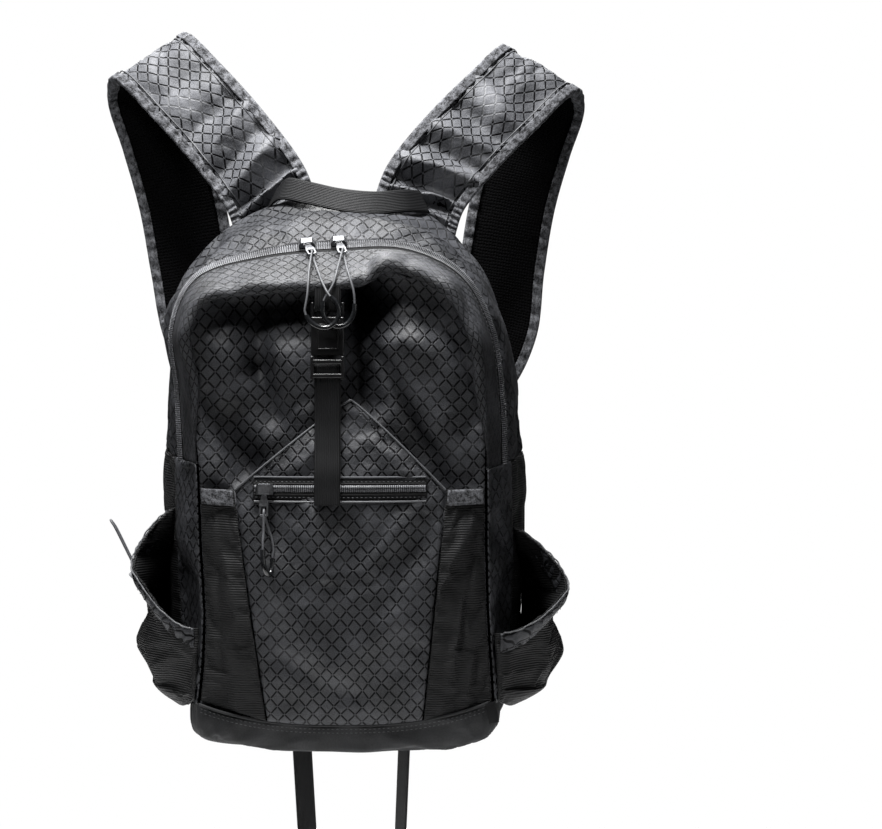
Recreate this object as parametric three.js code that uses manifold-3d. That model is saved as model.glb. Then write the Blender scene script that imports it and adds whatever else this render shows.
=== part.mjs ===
// A packable daypack of ripstop cloth, in the form that it has on a wearer's shoulders: a teardrop body
// closed by an arched zip, a front pocket under a buckled strap, two bottle pockets, padded shoulder straps
// and a haul loop. Millimetres, +Z up, the front faces -Y. The body is laid out from the middle of its base,
// and the whole is then placed so that the origin lies between the crests of the shoulder straps.
import * as THREE from "three";
import Module from "manifold-3d";
import { mergeVertices } from "three/addons/utils/BufferGeometryUtils.js";

// Driving sizes of the body
const bodyHeight = 441;
const frontHalfWidth = 116;
const backHalfWidth = 147;
const frontSeamY = -62;
const backSeamY = 68;
const backHollow = 3;
const gussetBulge = 5;
const frontBulge = 9;
const frontBulgeReach = 1.1;
const lipReach = 10;
const cloth = 1.5;
const backPad = 2.5;
const seamGap = 0.5;
const seamTrim = cloth / 2 + seamGap;
const backTrim = backPad / 2 + seamGap;
const layerClear = cloth + seamGap;

// The base tray
const baseZ = 6;
const baseFrontRim = 26;
const baseCornerRim = 44;
const baseBackRim = 36;
const baseBulge = 5;
const rimStep = 1.2;

// Zips
const zipWidth = 13;
const zipTape = 1.2;
const zipCoil = 2.8;
const mainZipDepthShare = 0.31;
const mainZipFrom = 4.1;
const mainZipTo = 13.9;

// Front pocket
const pocketTopHalfWidth = 81;
const pocketFootHalfWidth = 60;
const pocketCornerZ = bodyHeight - 229;
const pocketPeakX = 8;
const pocketPeakZ = pocketCornerZ + 69;
const pocketBulge = 17;
const pocketClear = 3.4;
const pocketLean = 3;
const bindingHeight = 10;
const pocketZipHalfLength = 66;
const pocketZipZ = pocketCornerZ + 1;

// Bottle pockets
const bottleFootZ = 33;
const hemDepth = 15;
const bottleRearSeam = 0.46;
const bottleRearFoot = 0.96;
const bottleFrontSeam = 0.03;

// Webbing and hardware
const webbingWidth = 20;
const webbing = 1.4;
const barDiameter = 3;
const railWidth = 2.5;
const buckleX = -9.5;
const tabDrop = 19.5;
const bucklePlugHeight = 18;
const buckleSocketHeight = 38;
const buckleForward = 3.1;
const plugBack = 2;
const plateDepth = 5.5;
const plateForward = 0.4;
const frontStrapEndZ = pocketZipZ - 12;
const lockFrame = 3;
const lockHeight = 22;
const tailFootZ = -100;
const tailBack = 4;
const sliderLength = 13;
const sliderWidth = 8;
const sliderPlate = 2.2;
const sliderBridge = 2.8;
const pullLength = 16.5;
const pullWidth = 7;
const pullThickness = 1.2;
const cordDiameter = 1.8;
const gripDiameter = 4;
const lockDiameter = 6.4;
const lockLength = 16;
const fitGap = 0.4;

// Shoulder straps
const strapWidth = 70;
const strapEndWidth = 42;
const padThickness = 9;
const padEdge = 3;
const strapTaperFrom = 0.8;
const crestY = 136;
const crestZ = bodyHeight + 120;

const degrees = Math.PI / 180;
const v3 = (x, y, z) => new THREE.Vector3(x, y, z);
const mix = THREE.MathUtils.lerp;
const ease = (t) => THREE.MathUtils.smoothstep(t, 0, 1);
const hump = (t) => Math.sin(Math.PI * THREE.MathUtils.clamp(t, 0, 1));

const materials = {
  ripstop: new THREE.MeshStandardMaterial({ color: 0x2c2d2f, roughness: 0.55, metalness: 0 }),
  stretch: new THREE.MeshStandardMaterial({ color: 0x18191a, roughness: 0.85, metalness: 0 }),
  mesh: new THREE.MeshStandardMaterial({ color: 0x121213, roughness: 0.9, metalness: 0 }),
  boot: new THREE.MeshStandardMaterial({ color: 0x3a3b3d, roughness: 0.7, metalness: 0 }),
  webbing: new THREE.MeshStandardMaterial({ color: 0x17181a, roughness: 0.75, metalness: 0 }),
  plastic: new THREE.MeshStandardMaterial({ color: 0x101112, roughness: 0.4, metalness: 0 }),
  metal: new THREE.MeshStandardMaterial({ color: 0xb9bbbd, roughness: 0.3, metalness: 1 }),
  cord: new THREE.MeshStandardMaterial({ color: 0x8d8f92, roughness: 0.7, metalness: 0 }),
};

const wasm = await Module();
wasm.setup();
const pack = new THREE.Group();
const body = new THREE.Group();
pack.add(body);

function add(name, geometry, material) {
  const mesh = new THREE.Mesh(geometry, materials[material]);
  mesh.name = name;
  body.add(mesh);
  return mesh;
}

// Pulls the rows and columns at the edges of a grid of points in from a seam.
function trimEdges(grid, { left = 0, right = 0, foot = 0, top = 0 }) {
  const last = grid.length - 1;
  const end = grid[0].length - 1;
  const pull = (from, towards, by) => from.add(towards.clone().sub(from).setLength(by));
  for (const row of grid) {
    if (left) pull(row[0], row[1], left);
    if (right) pull(row[end], row[end - 1], right);
  }
  for (let i = 0; i <= end; i++) {
    if (foot) pull(grid[0][i], grid[1][i], foot);
    if (top) pull(grid[last][i], grid[last - 1][i], top);
  }
}

// A closed wall around a surface given as surface(u, v), with a thickness that may change over it.
function clothWall(surface, columns, rows, thickness = cloth, trims = {}) {
  const grid = [];
  for (let j = 0; j <= rows; j++) {
    const row = [];
    for (let i = 0; i <= columns; i++) row.push(surface(i / columns, j / rows));
    grid.push(row);
  }
  trimEdges(grid, trims);
  const at = (j, i) => grid[Math.min(Math.max(j, 0), rows)][Math.min(Math.max(i, 0), columns)];
  const positions = [];
  for (const side of [0.5, -0.5]) {
    for (let j = 0; j <= rows; j++) {
      for (let i = 0; i <= columns; i++) {
        const across = at(j, i + 1).clone().sub(at(j, i - 1));
        const up = at(j + 1, i).clone().sub(at(j - 1, i));
        const wall = typeof thickness === "number" ? thickness : thickness(i / columns, j / rows);
        const p = at(j, i).clone().addScaledVector(across.cross(up).normalize(), side * wall);
        positions.push(p.x, p.y, p.z);
      }
    }
  }
  const wide = columns + 1;
  const layer = wide * (rows + 1);
  const index = [];
  const quad = (a, b, c, d) => index.push(a, b, c, a, c, d);
  for (let j = 0; j < rows; j++) {
    for (let i = 0; i < columns; i++) {
      const a = j * wide + i;
      quad(a, a + 1, a + wide + 1, a + wide);
      quad(layer + a, layer + a + wide, layer + a + wide + 1, layer + a + 1);
    }
  }
  for (let i = 0; i < columns; i++) {
    const top = rows * wide + i;
    quad(i + 1, i, layer + i, layer + i + 1);
    quad(top, top + 1, layer + top + 1, layer + top);
  }
  for (let j = 0; j < rows; j++) {
    const a = j * wide;
    const b = a + columns;
    quad(a, a + wide, layer + a + wide, layer + a);
    quad(b + wide, b, layer + b, layer + b + wide);
  }
  const geometry = new THREE.BufferGeometry();
  geometry.setAttribute("position", new THREE.Float32BufferAttribute(positions, 3));
  geometry.setIndex(index);
  return geometry;
}

// Seam outlines from the left foot corner over the top to the right foot corner.
// x is a share of the half width of that face, z a share of the body height.
const outlineRows = [
  { frontX: -1.02, frontZ: 0.032, backX: -0.871, backZ: 0.045 },
  { frontX: -0.955, frontZ: 0.127, backX: -0.946, backZ: 0.141 },
  { frontX: -0.928, frontZ: 0.249, backX: -0.993, backZ: 0.254 },
  { frontX: -0.95, frontZ: 0.385, backX: -1.014, backZ: 0.385 },
  { frontX: -0.966, frontZ: 0.51, backX: -1.014, backZ: 0.517 },
  { frontX: -1.015, frontZ: 0.646, backX: -0.99, backZ: 0.658 },
  { frontX: -1.072, frontZ: 0.757, backX: -0.952, backZ: 0.782 },
  { frontX: -0.935, frontZ: 0.825, backX: -0.825, backZ: 0.888 },
  { frontX: -0.5, frontZ: 0.844, backX: -0.48, backZ: 0.973 },
  { frontX: 0.0, frontZ: 0.853, backX: 0.0, backZ: 1.0 },
  { frontX: 0.397, frontZ: 0.862, backX: 0.415, backZ: 0.972 },
  { frontX: 0.741, frontZ: 0.832, backX: 0.69, backZ: 0.889 },
  { frontX: 0.931, frontZ: 0.752, backX: 0.835, backZ: 0.778 },
  { frontX: 0.98, frontZ: 0.63, backX: 0.935, backZ: 0.653 },
  { frontX: 0.98, frontZ: 0.5, backX: 0.985, backZ: 0.512 },
  { frontX: 0.982, frontZ: 0.37, backX: 0.993, backZ: 0.381 },
  { frontX: 0.993, frontZ: 0.26, backX: 0.98, backZ: 0.254 },
  { frontX: 1.02, frontZ: 0.14, backX: 0.939, backZ: 0.141 },
  { frontX: 1.045, frontZ: 0.03, backX: 0.884, backZ: 0.036 },
];
const lastRow = outlineRows.length - 1;
const rowStep = 0.05;
const sampleStep = 0.01;
const lipFrom = 5;
const lipTo = 13;
const frontTopShare = 0.84;

const lipShare = (row) => ease(row - lipFrom) * ease(lipTo - row);
const frontOutline = new THREE.CatmullRomCurve3(
  outlineRows.map((r, i) =>
    v3(r.frontX * frontHalfWidth, frontSeamY - lipReach * lipShare(i), r.frontZ * bodyHeight),
  ),
);
const backOutline = new THREE.CatmullRomCurve3(
  outlineRows.map((r) => v3(r.backX * backHalfWidth, backSeamY, r.backZ * bodyHeight)),
);
const frontAt = (row) => frontOutline.getPoint(row / lastRow);
const backAt = (row) => backOutline.getPoint(row / lastRow);

// The direction out of the body, in the plane of the seam, at a row of an outline.
function outwardAt(curveAt, row) {
  const before = curveAt(Math.max(row - rowStep, 0));
  const along = curveAt(Math.min(row + rowStep, lastRow)).sub(before);
  return v3(-along.z, 0, along.x).normalize();
}
const insetAt = (curveAt, row, by) => curveAt(row).addScaledVector(outwardAt(curveAt, row), -by);
const middleAt = (row) => frontAt(row).add(backAt(row));

// A point of the band round the sides and the top: row along the outline, depth 0 in front and 1 behind.
function gussetAt(row, depth, lift = 0) {
  const onBand = frontAt(row).lerp(backAt(row), depth);
  return onBand.addScaledVector(outwardAt(middleAt, row), gussetBulge * hump(depth) + lift);
}

// The same surface moved along its own normal.
function liftedSurface(surface, by) {
  return (u, v) => {
    const across = surface(Math.min(u + sampleStep, 1), v).sub(surface(Math.max(u - sampleStep, 0), v));
    const up = surface(u, Math.min(v + sampleStep, 1)).sub(surface(u, Math.max(v - sampleStep, 0)));
    return surface(u, v).addScaledVector(across.cross(up).normalize(), by);
  };
}

// The row of the outline that lies at a height, on the left side (or on the right one).
function rowAtHeight(curveAt, z, rightSide = false) {
  let low = 0;
  let high = lastRow / 2;
  for (let n = 0; n < 24; n++) {
    const middle = (low + high) / 2;
    if (curveAt(rightSide ? lastRow - middle : middle).z < z) low = middle;
    else high = middle;
  }
  return rightSide ? lastRow - low : low;
}

// Folds and hollows of the front, in the front view: shares of the front half width and of the body height.
// out is how far the cloth stands proud of its plain curve (negative for a hollow), wide half its width.
const frontFolds = [
  { fromX: -1.1, fromZ: 0.79, toX: 0.1, toZ: 0.79, wide: 24, out: -24 },
  { fromX: 0.1, fromZ: 0.8, toX: 0.95, toZ: 0.77, wide: 18, out: -16 },
  { fromX: 0.17, fromZ: 0.83, toX: 0.2, toZ: 0.62, wide: 13, out: -6 },
  { fromX: -0.62, fromZ: 0.74, toX: -0.2, toZ: 0.6, wide: 22, out: 6 },
  { fromX: -0.9, fromZ: 0.7, toX: -0.8, toZ: 0.5, wide: 15, out: -11 },
  { fromX: -1.0, fromZ: 0.62, toX: -0.88, toZ: 0.5, wide: 8, out: 6 },
  { fromX: 0.4, fromZ: 0.76, toX: 0.62, toZ: 0.56, wide: 20, out: 8 },
  { fromX: 0.85, fromZ: 0.7, toX: 0.78, toZ: 0.48, wide: 12, out: -8 },
];

function foldsAt(rows, x, z) {
  let out = 0;
  for (const fold of rows) {
    const from = new THREE.Vector2(fold.fromX * frontHalfWidth, fold.fromZ * bodyHeight);
    const run = new THREE.Vector2(fold.toX * frontHalfWidth, fold.toZ * bodyHeight).sub(from);
    const here = new THREE.Vector2(x, z).sub(from);
    const t = THREE.MathUtils.clamp(here.dot(run) / run.lengthSq(), 0, 1);
    const away = here.addScaledVector(run, -t).length() / fold.wide;
    out += fold.out * Math.exp(-away * away);
  }
  return out;
}

const baseRimAt = (x) => mix(baseFrontRim, baseCornerRim, Math.min(1, Math.abs(x) / frontHalfWidth) ** 2.5);

// How far the front bulges over its seams at a place in the front view.
function frontBulgeAt(x, z) {
  const up = z / (frontTopShare * bodyHeight);
  const across = Math.cos((Math.PI / 2) * Math.min(1, Math.abs(x) / (frontBulgeReach * frontHalfWidth)));
  return frontBulge * Math.sqrt(hump(up)) * across;
}

const frontFootRow = rowAtHeight(frontAt, baseCornerRim);
const frontTopRow = 8.6;

function frontPanelAt(u, v) {
  const row = mix(frontFootRow, frontTopRow, v);
  const p = insetAt(frontAt, row, layerClear).lerp(insetAt(frontAt, lastRow - row, layerClear), u);
  const drop = (baseCornerRim - baseRimAt(p.x)) * (1 - v) ** 3;
  const fromEdge = { side: Math.min(u, 1 - u) * 7, ends: Math.min(v * 6, (1 - v) * 9) };
  const edge = ease(fromEdge.side) * ease(fromEdge.ends);
  return v3(p.x, p.y - edge * (frontBulgeAt(p.x, p.z) + foldsAt(frontFolds, p.x, p.z)), p.z - drop);
}

// The depth of the front panel's plain curve, which the pocket lies on.
const frontFaceY = (x, z) => frontSeamY - frontBulgeAt(x, z);

add("front_panel", clothWall(frontPanelAt, 16, 16, cloth, { foot: seamTrim + seamGap }), "ripstop");

const backFootRow = rowAtHeight(backAt, baseBackRim);
const backTopRow = 8.7;

function backPanelAt(u, v) {
  const row = mix(backFootRow, backTopRow, v);
  const p = insetAt(backAt, row, backTrim).lerp(insetAt(backAt, lastRow - row, backTrim), u);
  return v3(p.x, p.y - backHollow * hump(u) * hump(v), p.z);
}

add("back_panel", clothWall(backPanelAt, 8, 10, backPad, { foot: backTrim + rimStep }), "mesh");

// The base tray: a rounded floor whose rim rises to the seams of the four walls.
function baseAt(u, v) {
  const a = 2 * u - 1;
  const b = 2 * v - 1;
  const halfWidth = mix(Math.abs(frontAt(frontFootRow).x), Math.abs(backAt(backFootRow).x), v);
  const round = (t) => Math.sign(t) * Math.sin((Math.PI / 2) * Math.abs(t)) ** 0.7;
  const out = Math.min(1, (Math.abs(a) ** 8 + Math.abs(b) ** 8) ** (1 / 8));
  const x = round(a) * halfWidth + mix(2, 0, v);
  const rim = mix(baseRimAt(a * frontHalfWidth), baseBackRim, v);
  const belly = baseBulge * (1 - a * a) * (b < 0 ? b * b : 0);
  return v3(x, mix(frontSeamY, backSeamY, (round(b) + 1) / 2) - belly, mix(baseZ, rim, out ** 6));
}

const rimTrims = { left: seamGap, right: seamGap, foot: seamGap, top: seamGap };
add("base_panel", clothWall(baseAt, 12, 10, cloth, rimTrims), "boot");

// Sides below the ends of the zip: a ripstop strip in front and plain black cloth behind the seam.
function addSidePanel(name, rightSide, fromShare, toShare, material, trims) {
  const top = rightSide ? mainZipTo : mainZipFrom;
  const surface = (u, v) => {
    const share = mix(fromShare, toShare, u);
    const foot = rowAtHeight(frontAt, mix(baseCornerRim, baseBackRim, share), rightSide);
    return gussetAt(mix(foot, top, v), share);
  };
  add(name, clothWall(surface, 4, 6, cloth, { foot: seamTrim, top: seamGap / 2, ...trims }), material);
}
const frontStripTrims = { left: seamTrim, right: seamGap / 2 };
const rearPartTrims = { left: seamGap / 2, right: backTrim };
for (const [name, rightSide] of Object.entries({ left: false, right: true })) {
  addSidePanel(`side_panel_${name}`, rightSide, 0, bottleRearSeam, "ripstop", frontStripTrims);
  addSidePanel(`side_rear_${name}`, rightSide, bottleRearSeam, 1, "stretch", rearPartTrims);
}

function gussetBand(fromShare, toShare) {
  return (u, v) => gussetAt(mix(mainZipFrom, mainZipTo, u), mix(fromShare, toShare, v));
}

const zipShare = zipWidth / (backSeamY - frontSeamY + lipReach);
const zipFront = mainZipDepthShare - zipShare / 2;
const zipBack = mainZipDepthShare + zipShare / 2;
const bandEnds = { left: seamGap / 2, right: seamGap / 2, foot: seamGap / 2, top: seamGap / 2 };
const frontBandEnds = { ...bandEnds, foot: seamTrim };
const rearBandEnds = { ...bandEnds, top: backTrim };
const coilProfile = (u, v) => (Math.abs(v - 0.5) < 0.2 ? zipCoil : zipTape);
add("front_gusset", clothWall(gussetBand(0, zipFront), 30, 3, cloth, frontBandEnds), "ripstop");
add("main_zip", clothWall(gussetBand(zipFront, zipBack), 30, 4, coilProfile, bandEnds), "mesh");
add("rear_gusset", clothWall(gussetBand(zipBack, 1), 30, 4, cloth, rearBandEnds), "ripstop");

// Front pocket: a ripstop middle with a peaked top, stretch mesh at both sides, bindings and a zip across it.
const pocketFaceY = (x, z) => {
  const up = THREE.MathUtils.clamp((z - baseFrontRim) / (pocketCornerZ - baseFrontRim), 0, 1.4);
  const across = Math.cos((Math.PI / 2) * Math.min(1, Math.abs(x) / (1.02 * frontHalfWidth)));
  return frontFaceY(x, z) - pocketClear - pocketBulge * hump(up / 1.35) ** 0.8 * across ** 0.7;
};

function pocketTopZ(x) {
  const side = x < pocketPeakX ? -pocketTopHalfWidth : pocketTopHalfWidth;
  const run = THREE.MathUtils.clamp((x - pocketPeakX) / (side - pocketPeakX), 0, 1);
  return mix(pocketPeakZ, pocketCornerZ, run ** 1.1);
}

function pocketAt(u, v, forward = 0) {
  const top = mix(-pocketTopHalfWidth, pocketTopHalfWidth, u);
  const foot = mix(-pocketFootHalfWidth, pocketFootHalfWidth, u) + pocketLean;
  const topZ = pocketTopZ(top);
  const footZ = baseRimAt(foot) + layerClear;
  const z = mix(footZ, topZ, v);
  const x = mix(foot, top, Math.min(1, (z - footZ) / (pocketCornerZ - footZ)));
  return v3(x, pocketFaceY(x, z) - forward, z);
}
add("front_pocket", clothWall((u, v) => pocketAt(u, v), 12, 10, cloth), "ripstop");

const meshFolds = [
  { fromX: 0.94, fromZ: 0.46, toX: 0.6, toZ: 0.26, wide: 6, out: 4 },
  { fromX: 0.98, fromZ: 0.44, toX: 0.72, toZ: 0.14, wide: 6, out: 4 },
  { fromX: 1.0, fromZ: 0.36, toX: 0.85, toZ: 0.12, wide: 5, out: 3 },
  { fromX: -0.86, fromZ: 0.45, toX: -0.66, toZ: 0.2, wide: 6, out: 3 },
];
function pocketSideSurface(rightSide, forward) {
  const hand = rightSide ? 1 : -1;
  return (u, v) => {
    const z = mix(baseRimAt(frontHalfWidth) + layerClear, pocketCornerZ, v);
    const inner = pocketAt(rightSide ? 1 : 0, v).add(v3(hand * (cloth + fitGap), 0, 0));
    const outer = insetAt(frontAt, rowAtHeight(frontAt, z, rightSide), seamTrim * 2);
    const p = v3(outer.x, outer.y - layerClear, z).lerp(inner, u);
    return p.add(v3(0, -hump(u) * foldsAt(meshFolds, p.x, p.z) - forward, 0));
  };
}
const bindingFoot = 1 - bindingHeight / (pocketCornerZ - baseCornerRim - layerClear);
for (const [name, rightSide] of Object.entries({ left: false, right: true })) {
  const side = pocketSideSurface(rightSide, 0);
  const bound = pocketSideSurface(rightSide, layerClear);
  add(`pocket_mesh_${name}`, clothWall(side, 5, 10, 1.2), "stretch");
  const binding = (u, v) => bound(mix(0.02, 0.94, u), mix(bindingFoot, 1, v));
  add(`pocket_binding_${name}`, clothWall(binding, 4, 1, 1.2), "webbing");
}

function onPocket(x, z, forward) {
  return v3(x, pocketFaceY(x, z) - forward, z);
}
const zipForward = cloth / 2 + zipCoil / 2 + fitGap;
function pocketZipAt(u, v) {
  const x = mix(-pocketZipHalfLength, pocketZipHalfLength, u);
  return onPocket(x, pocketZipZ + (v - 0.5) * zipWidth, zipForward);
}
add("pocket_zip", clothWall(pocketZipAt, 8, 4, coilProfile), "mesh");

// Bottle pockets: a pouch on each side whose mouth slants up from the front seam to the rear of the side.
const bottleRows = [
  { rise: 0.0, out: 0.05 },
  { rise: 0.14, out: 0.52 },
  { rise: 0.36, out: 0.78 },
  { rise: 0.7, out: 0.7 },
  { rise: 1.0, out: 1.0 },
];
const bottleSides = {
  left: { frontHemZ: 102, middleHemZ: 143, rearHemZ: 192, bulge: 41 },
  right: { frontHemZ: 98, middleHemZ: 128, rearHemZ: 176, bulge: 49 },
};

function bottleOut(rise) {
  let i = 0;
  while (i < bottleRows.length - 2 && bottleRows[i + 1].rise < rise) i++;
  const from = bottleRows[i];
  const to = bottleRows[i + 1];
  return mix(from.out, to.out, ease((rise - from.rise) / (to.rise - from.rise)));
}

function bottleHemZ(side, u) {
  if (u < 0.5) return mix(side.frontHemZ, side.middleHemZ, ease(u * 2));
  return mix(side.middleHemZ, side.rearHemZ, (u * 2 - 1) ** 1.2);
}

function bottleSurface(side, rightSide) {
  const hand = rightSide ? 1 : -1;
  return (u, v) => {
    const foot = mix(baseCornerRim, baseBackRim, u) + layerClear;
    const z = mix(foot, bottleHemZ(side, u), v);
    const rear = mix(bottleRearFoot, bottleRearSeam, ease(v * 1.6 - 0.6));
    const p = gussetAt(rowAtHeight(frontAt, z, rightSide), mix(bottleFrontSeam, rear, u), layerClear);
    const sag = (foot - bottleFootZ) * hump(u) * (1 - v) ** 4;
    const out = side.bulge * bottleOut(v) * hump(u) ** 0.8;
    return v3(p.x + hand * out, p.y, z - sag);
  };
}

for (const [name, side] of Object.entries(bottleSides)) {
  const rightSide = name === "right";
  const pouch = bottleSurface(side, rightSide);
  const casing = liftedSurface(pouch, (rightSide ? 1 : -1) * (layerClear + seamGap));
  add(`bottle_pocket_${name}`, clothWall(pouch, 10, 9, cloth), "stretch");
  const hemFrom = (u) => 1 - hemDepth / (bottleHemZ(side, u) - baseCornerRim);
  const hem = (u, v) => casing(mix(0.02, 0.98, u), mix(hemFrom(u), 1, v));
  add(`bottle_hem_${name}`, clothWall(hem, 10, 2, 1.2), "ripstop");
}

// A flat strap along a few points. acrossX, acrossY and acrossZ point along its width.
function strapWall(rows, width, thickness, steps, columns = 1) {
  const path = new THREE.CatmullRomCurve3(rows.map((r) => v3(r.x, r.y, r.z)), false, "centripetal");
  const across = new THREE.CatmullRomCurve3(rows.map((r) => v3(r.acrossX, r.acrossY, r.acrossZ)));
  const surface = (u, v) => {
    const wide = typeof width === "number" ? width : width(v);
    return path.getPoint(v).addScaledVector(across.getPoint(v).normalize(), (u - 0.5) * wide);
  };
  return clothWall(surface, columns, steps, thickness);
}

// Haul loop: its ends stand in the top seam and its middle leans forward over the top.
const haulRows = [
  { x: -61, y: -7, z: -1.8, acrossX: 0.45, acrossY: 0.1, acrossZ: 0.9 },
  { x: -52, y: -14, z: 6.5, acrossX: 0.35, acrossY: 0.3, acrossZ: 0.88 },
  { x: -30, y: -30, z: 3, acrossX: 0.1, acrossY: 0.4, acrossZ: 0.9 },
  { x: -3, y: -42, z: -3, acrossX: 0, acrossY: 0.4, acrossZ: 0.92 },
  { x: 24, y: -43, z: -5.5, acrossX: 0, acrossY: 0.4, acrossZ: 0.92 },
  { x: 48, y: -30, z: -3.4, acrossX: -0.2, acrossY: 0.35, acrossZ: 0.9 },
  { x: 64, y: -9, z: -3.6, acrossX: -0.4, acrossY: 0.1, acrossZ: 0.9 },
];
const inTopSeam = (r) => ({ ...r, y: backSeamY + r.y, z: bodyHeight + r.z });
add("haul_loop", strapWall(haulRows.map(inTopSeam), webbingWidth, webbing, 20, 1), "webbing");

// Shoulder straps: sewn in behind the top seam, over the crest and down behind the pack to the adjusters.
// y is measured from the back panel and z from the top of the body. The right strap lies a little lower and
// closer in.
const strapRows = [
  { x: -56, y: 0.4, z: -27, acrossX: 0.93, acrossY: 0, acrossZ: 0.36 },
  { x: -60, y: 1.8, z: -11, acrossX: 0.9, acrossY: 0, acrossZ: 0.43 },
  { x: -68, y: 7, z: 9, acrossX: 0.86, acrossY: 0, acrossZ: 0.5 },
  { x: -98, y: 25, z: 49, acrossX: 0.77, acrossY: 0, acrossZ: 0.63 },
  { x: -135, y: 43, z: 90, acrossX: 0.77, acrossY: 0, acrossZ: 0.63 },
  { x: -168, y: 65, z: 120, acrossX: 0.85, acrossY: 0, acrossZ: 0.53 },
  { x: -174, y: 87, z: 100, acrossX: 0.93, acrossY: 0, acrossZ: 0.36 },
  { x: -160, y: 94, z: 51, acrossX: 0.97, acrossY: 0, acrossZ: 0.24 },
  { x: -146, y: 95, z: -1, acrossX: 0.98, acrossY: 0, acrossZ: 0.18 },
  { x: -136, y: 92, z: -56, acrossX: 0.98, acrossY: 0, acrossZ: 0.16 },
  { x: -126, y: 85, z: -106, acrossX: 0.97, acrossY: 0, acrossZ: 0.24 },
  { x: -106, y: 73, z: -147, acrossX: 0.88, acrossY: 0, acrossZ: 0.48 },
  { x: -86, y: 58, z: -181, acrossX: 0.93, acrossY: 0, acrossZ: 0.37 },
  { x: -76, y: 46, z: -211, acrossX: 0.948, acrossY: 0, acrossZ: 0.32 },
];
const strapSides = {
  left: { hand: 1, closer: 1, lower: 0, tailFootX: -36, tailTopX: -54, tailTurn: 44 },
  right: { hand: -1, closer: 0.955, lower: 10, tailFootX: 43, tailTopX: 56, tailTurn: 64 },
};
const closerFromZ = -141;
const strapRootY = backSeamY + backPad / 2 + seamGap + padEdge / 2;
const strapWidthAt = (v) => mix(strapWidth, strapEndWidth, ease((v - strapTaperFrom) / (1 - strapTaperFrom)));
function padProfile(u, v) {
  return padEdge + (padThickness - padEdge) * hump(u) ** 0.6 * ease(v * 9) * ease((1 - v) * 12);
}

// A row of the left strap's tables, carried over to one of the two sides.
function onSide(side, r) {
  const high = ease(r.z / (crestZ - bodyHeight));
  return {
    x: r.x * side.hand * mix(1, side.closer, ease((r.z - closerFromZ) / 100)),
    y: strapRootY + r.y,
    z: bodyHeight + r.z - side.lower * high,
    acrossX: r.acrossX,
    acrossY: r.acrossY * side.hand,
    acrossZ: r.acrossZ * side.hand,
  };
}
for (const [name, side] of Object.entries(strapSides)) {
  const rows = strapRows.map((r) => onSide(side, r));
  add(`shoulder_strap_${name}`, strapWall(rows, strapWidthAt, padProfile, 28, 4), "ripstop");
}

// A closed mesh made of several solids that touch or cross.
function fused(geometries) {
  const solids = geometries.map((geometry) => {
    const plain = geometry.clone();
    plain.deleteAttribute("normal");
    plain.deleteAttribute("uv");
    const merged = mergeVertices(plain, 1e-4);
    const vertProperties = new Float32Array(merged.attributes.position.array);
    const triVerts = new Uint32Array(merged.index.array);
    return new wasm.Manifold(new wasm.Mesh({ numProp: 3, vertProperties, triVerts }));
  });
  const mesh = solids.reduce((whole, solid) => whole.add(solid)).getMesh();
  const geometry = new THREE.BufferGeometry();
  geometry.setAttribute("position", new THREE.BufferAttribute(mesh.vertProperties, 3));
  geometry.setIndex(new THREE.BufferAttribute(mesh.triVerts, 1));
  return geometry;
}
const box = (w, d, h, x, y, z) => new THREE.BoxGeometry(w, d, h).translate(x, y, z);
function bar(length, x, y, z) {
  const upright = new THREE.CylinderGeometry(barDiameter / 2, barDiameter / 2, length, 8);
  return upright.rotateZ(Math.PI / 2).translate(x, y, z);
}

// The buckle on the front hangs from a short tab under the lip and holds the pocket shut by a long strap.
// All of it lies in one upright plane; bends of the webbing go round the bars.
const barClear = barDiameter / 2 + fitGap + webbing / 2;
const buckleWidth = webbingWidth + 2 * (fitGap + railWidth);
const lipY = frontSeamY - lipReach;
const socketY = lipY - buckleForward;
const plugY = socketY - plugBack;
const tabTopZ = frontAt(8.8).z - 4;
const socketBarZ = tabTopZ - tabDrop;
const socketFootZ = socketBarZ + barDiameter / 2 - buckleSocketHeight;
const bucklePlugZ = socketFootZ - fitGap - bucklePlugHeight;
const plugBarZ = bucklePlugZ + bucklePlugHeight / 2;
const outerBarY = plugY - barClear - webbing / 2 - fitGap - barDiameter / 2;
const railDepth = plugY - outerBarY + barDiameter;
const railY = (plugY + outerBarY) / 2;
const railX = (webbingWidth + railWidth) / 2 + fitGap;
const railSides = [buckleX - railX, buckleX + railX];
const rails = (height, z) => railSides.map((x) => box(railWidth, railDepth, height, x, railY, z));

add(
  "buckle_plug",
  fused([
    ...rails(bucklePlugHeight, plugBarZ),
    bar(2 * railX, buckleX, plugY, plugBarZ),
    bar(2 * railX, buckleX, outerBarY, bucklePlugZ + barDiameter),
    bar(2 * railX, buckleX, outerBarY, bucklePlugZ + bucklePlugHeight - barDiameter * 1.4),
  ]),
  "plastic",
);
const plateHeight = buckleSocketHeight - 2 * barClear - barDiameter;
const plateZ = socketFootZ + plateHeight / 2;
const socketZ = socketFootZ + buckleSocketHeight / 2;
add(
  "buckle_socket",
  fused([
    box(buckleWidth, plateDepth, plateHeight, buckleX, socketY - plateForward, plateZ),
    ...railSides.map((x) => box(railWidth, barDiameter, buckleSocketHeight, x, socketY, socketZ)),
    bar(2 * railX, buckleX, socketY, socketBarZ),
  ]),
  "plastic",
);

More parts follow.
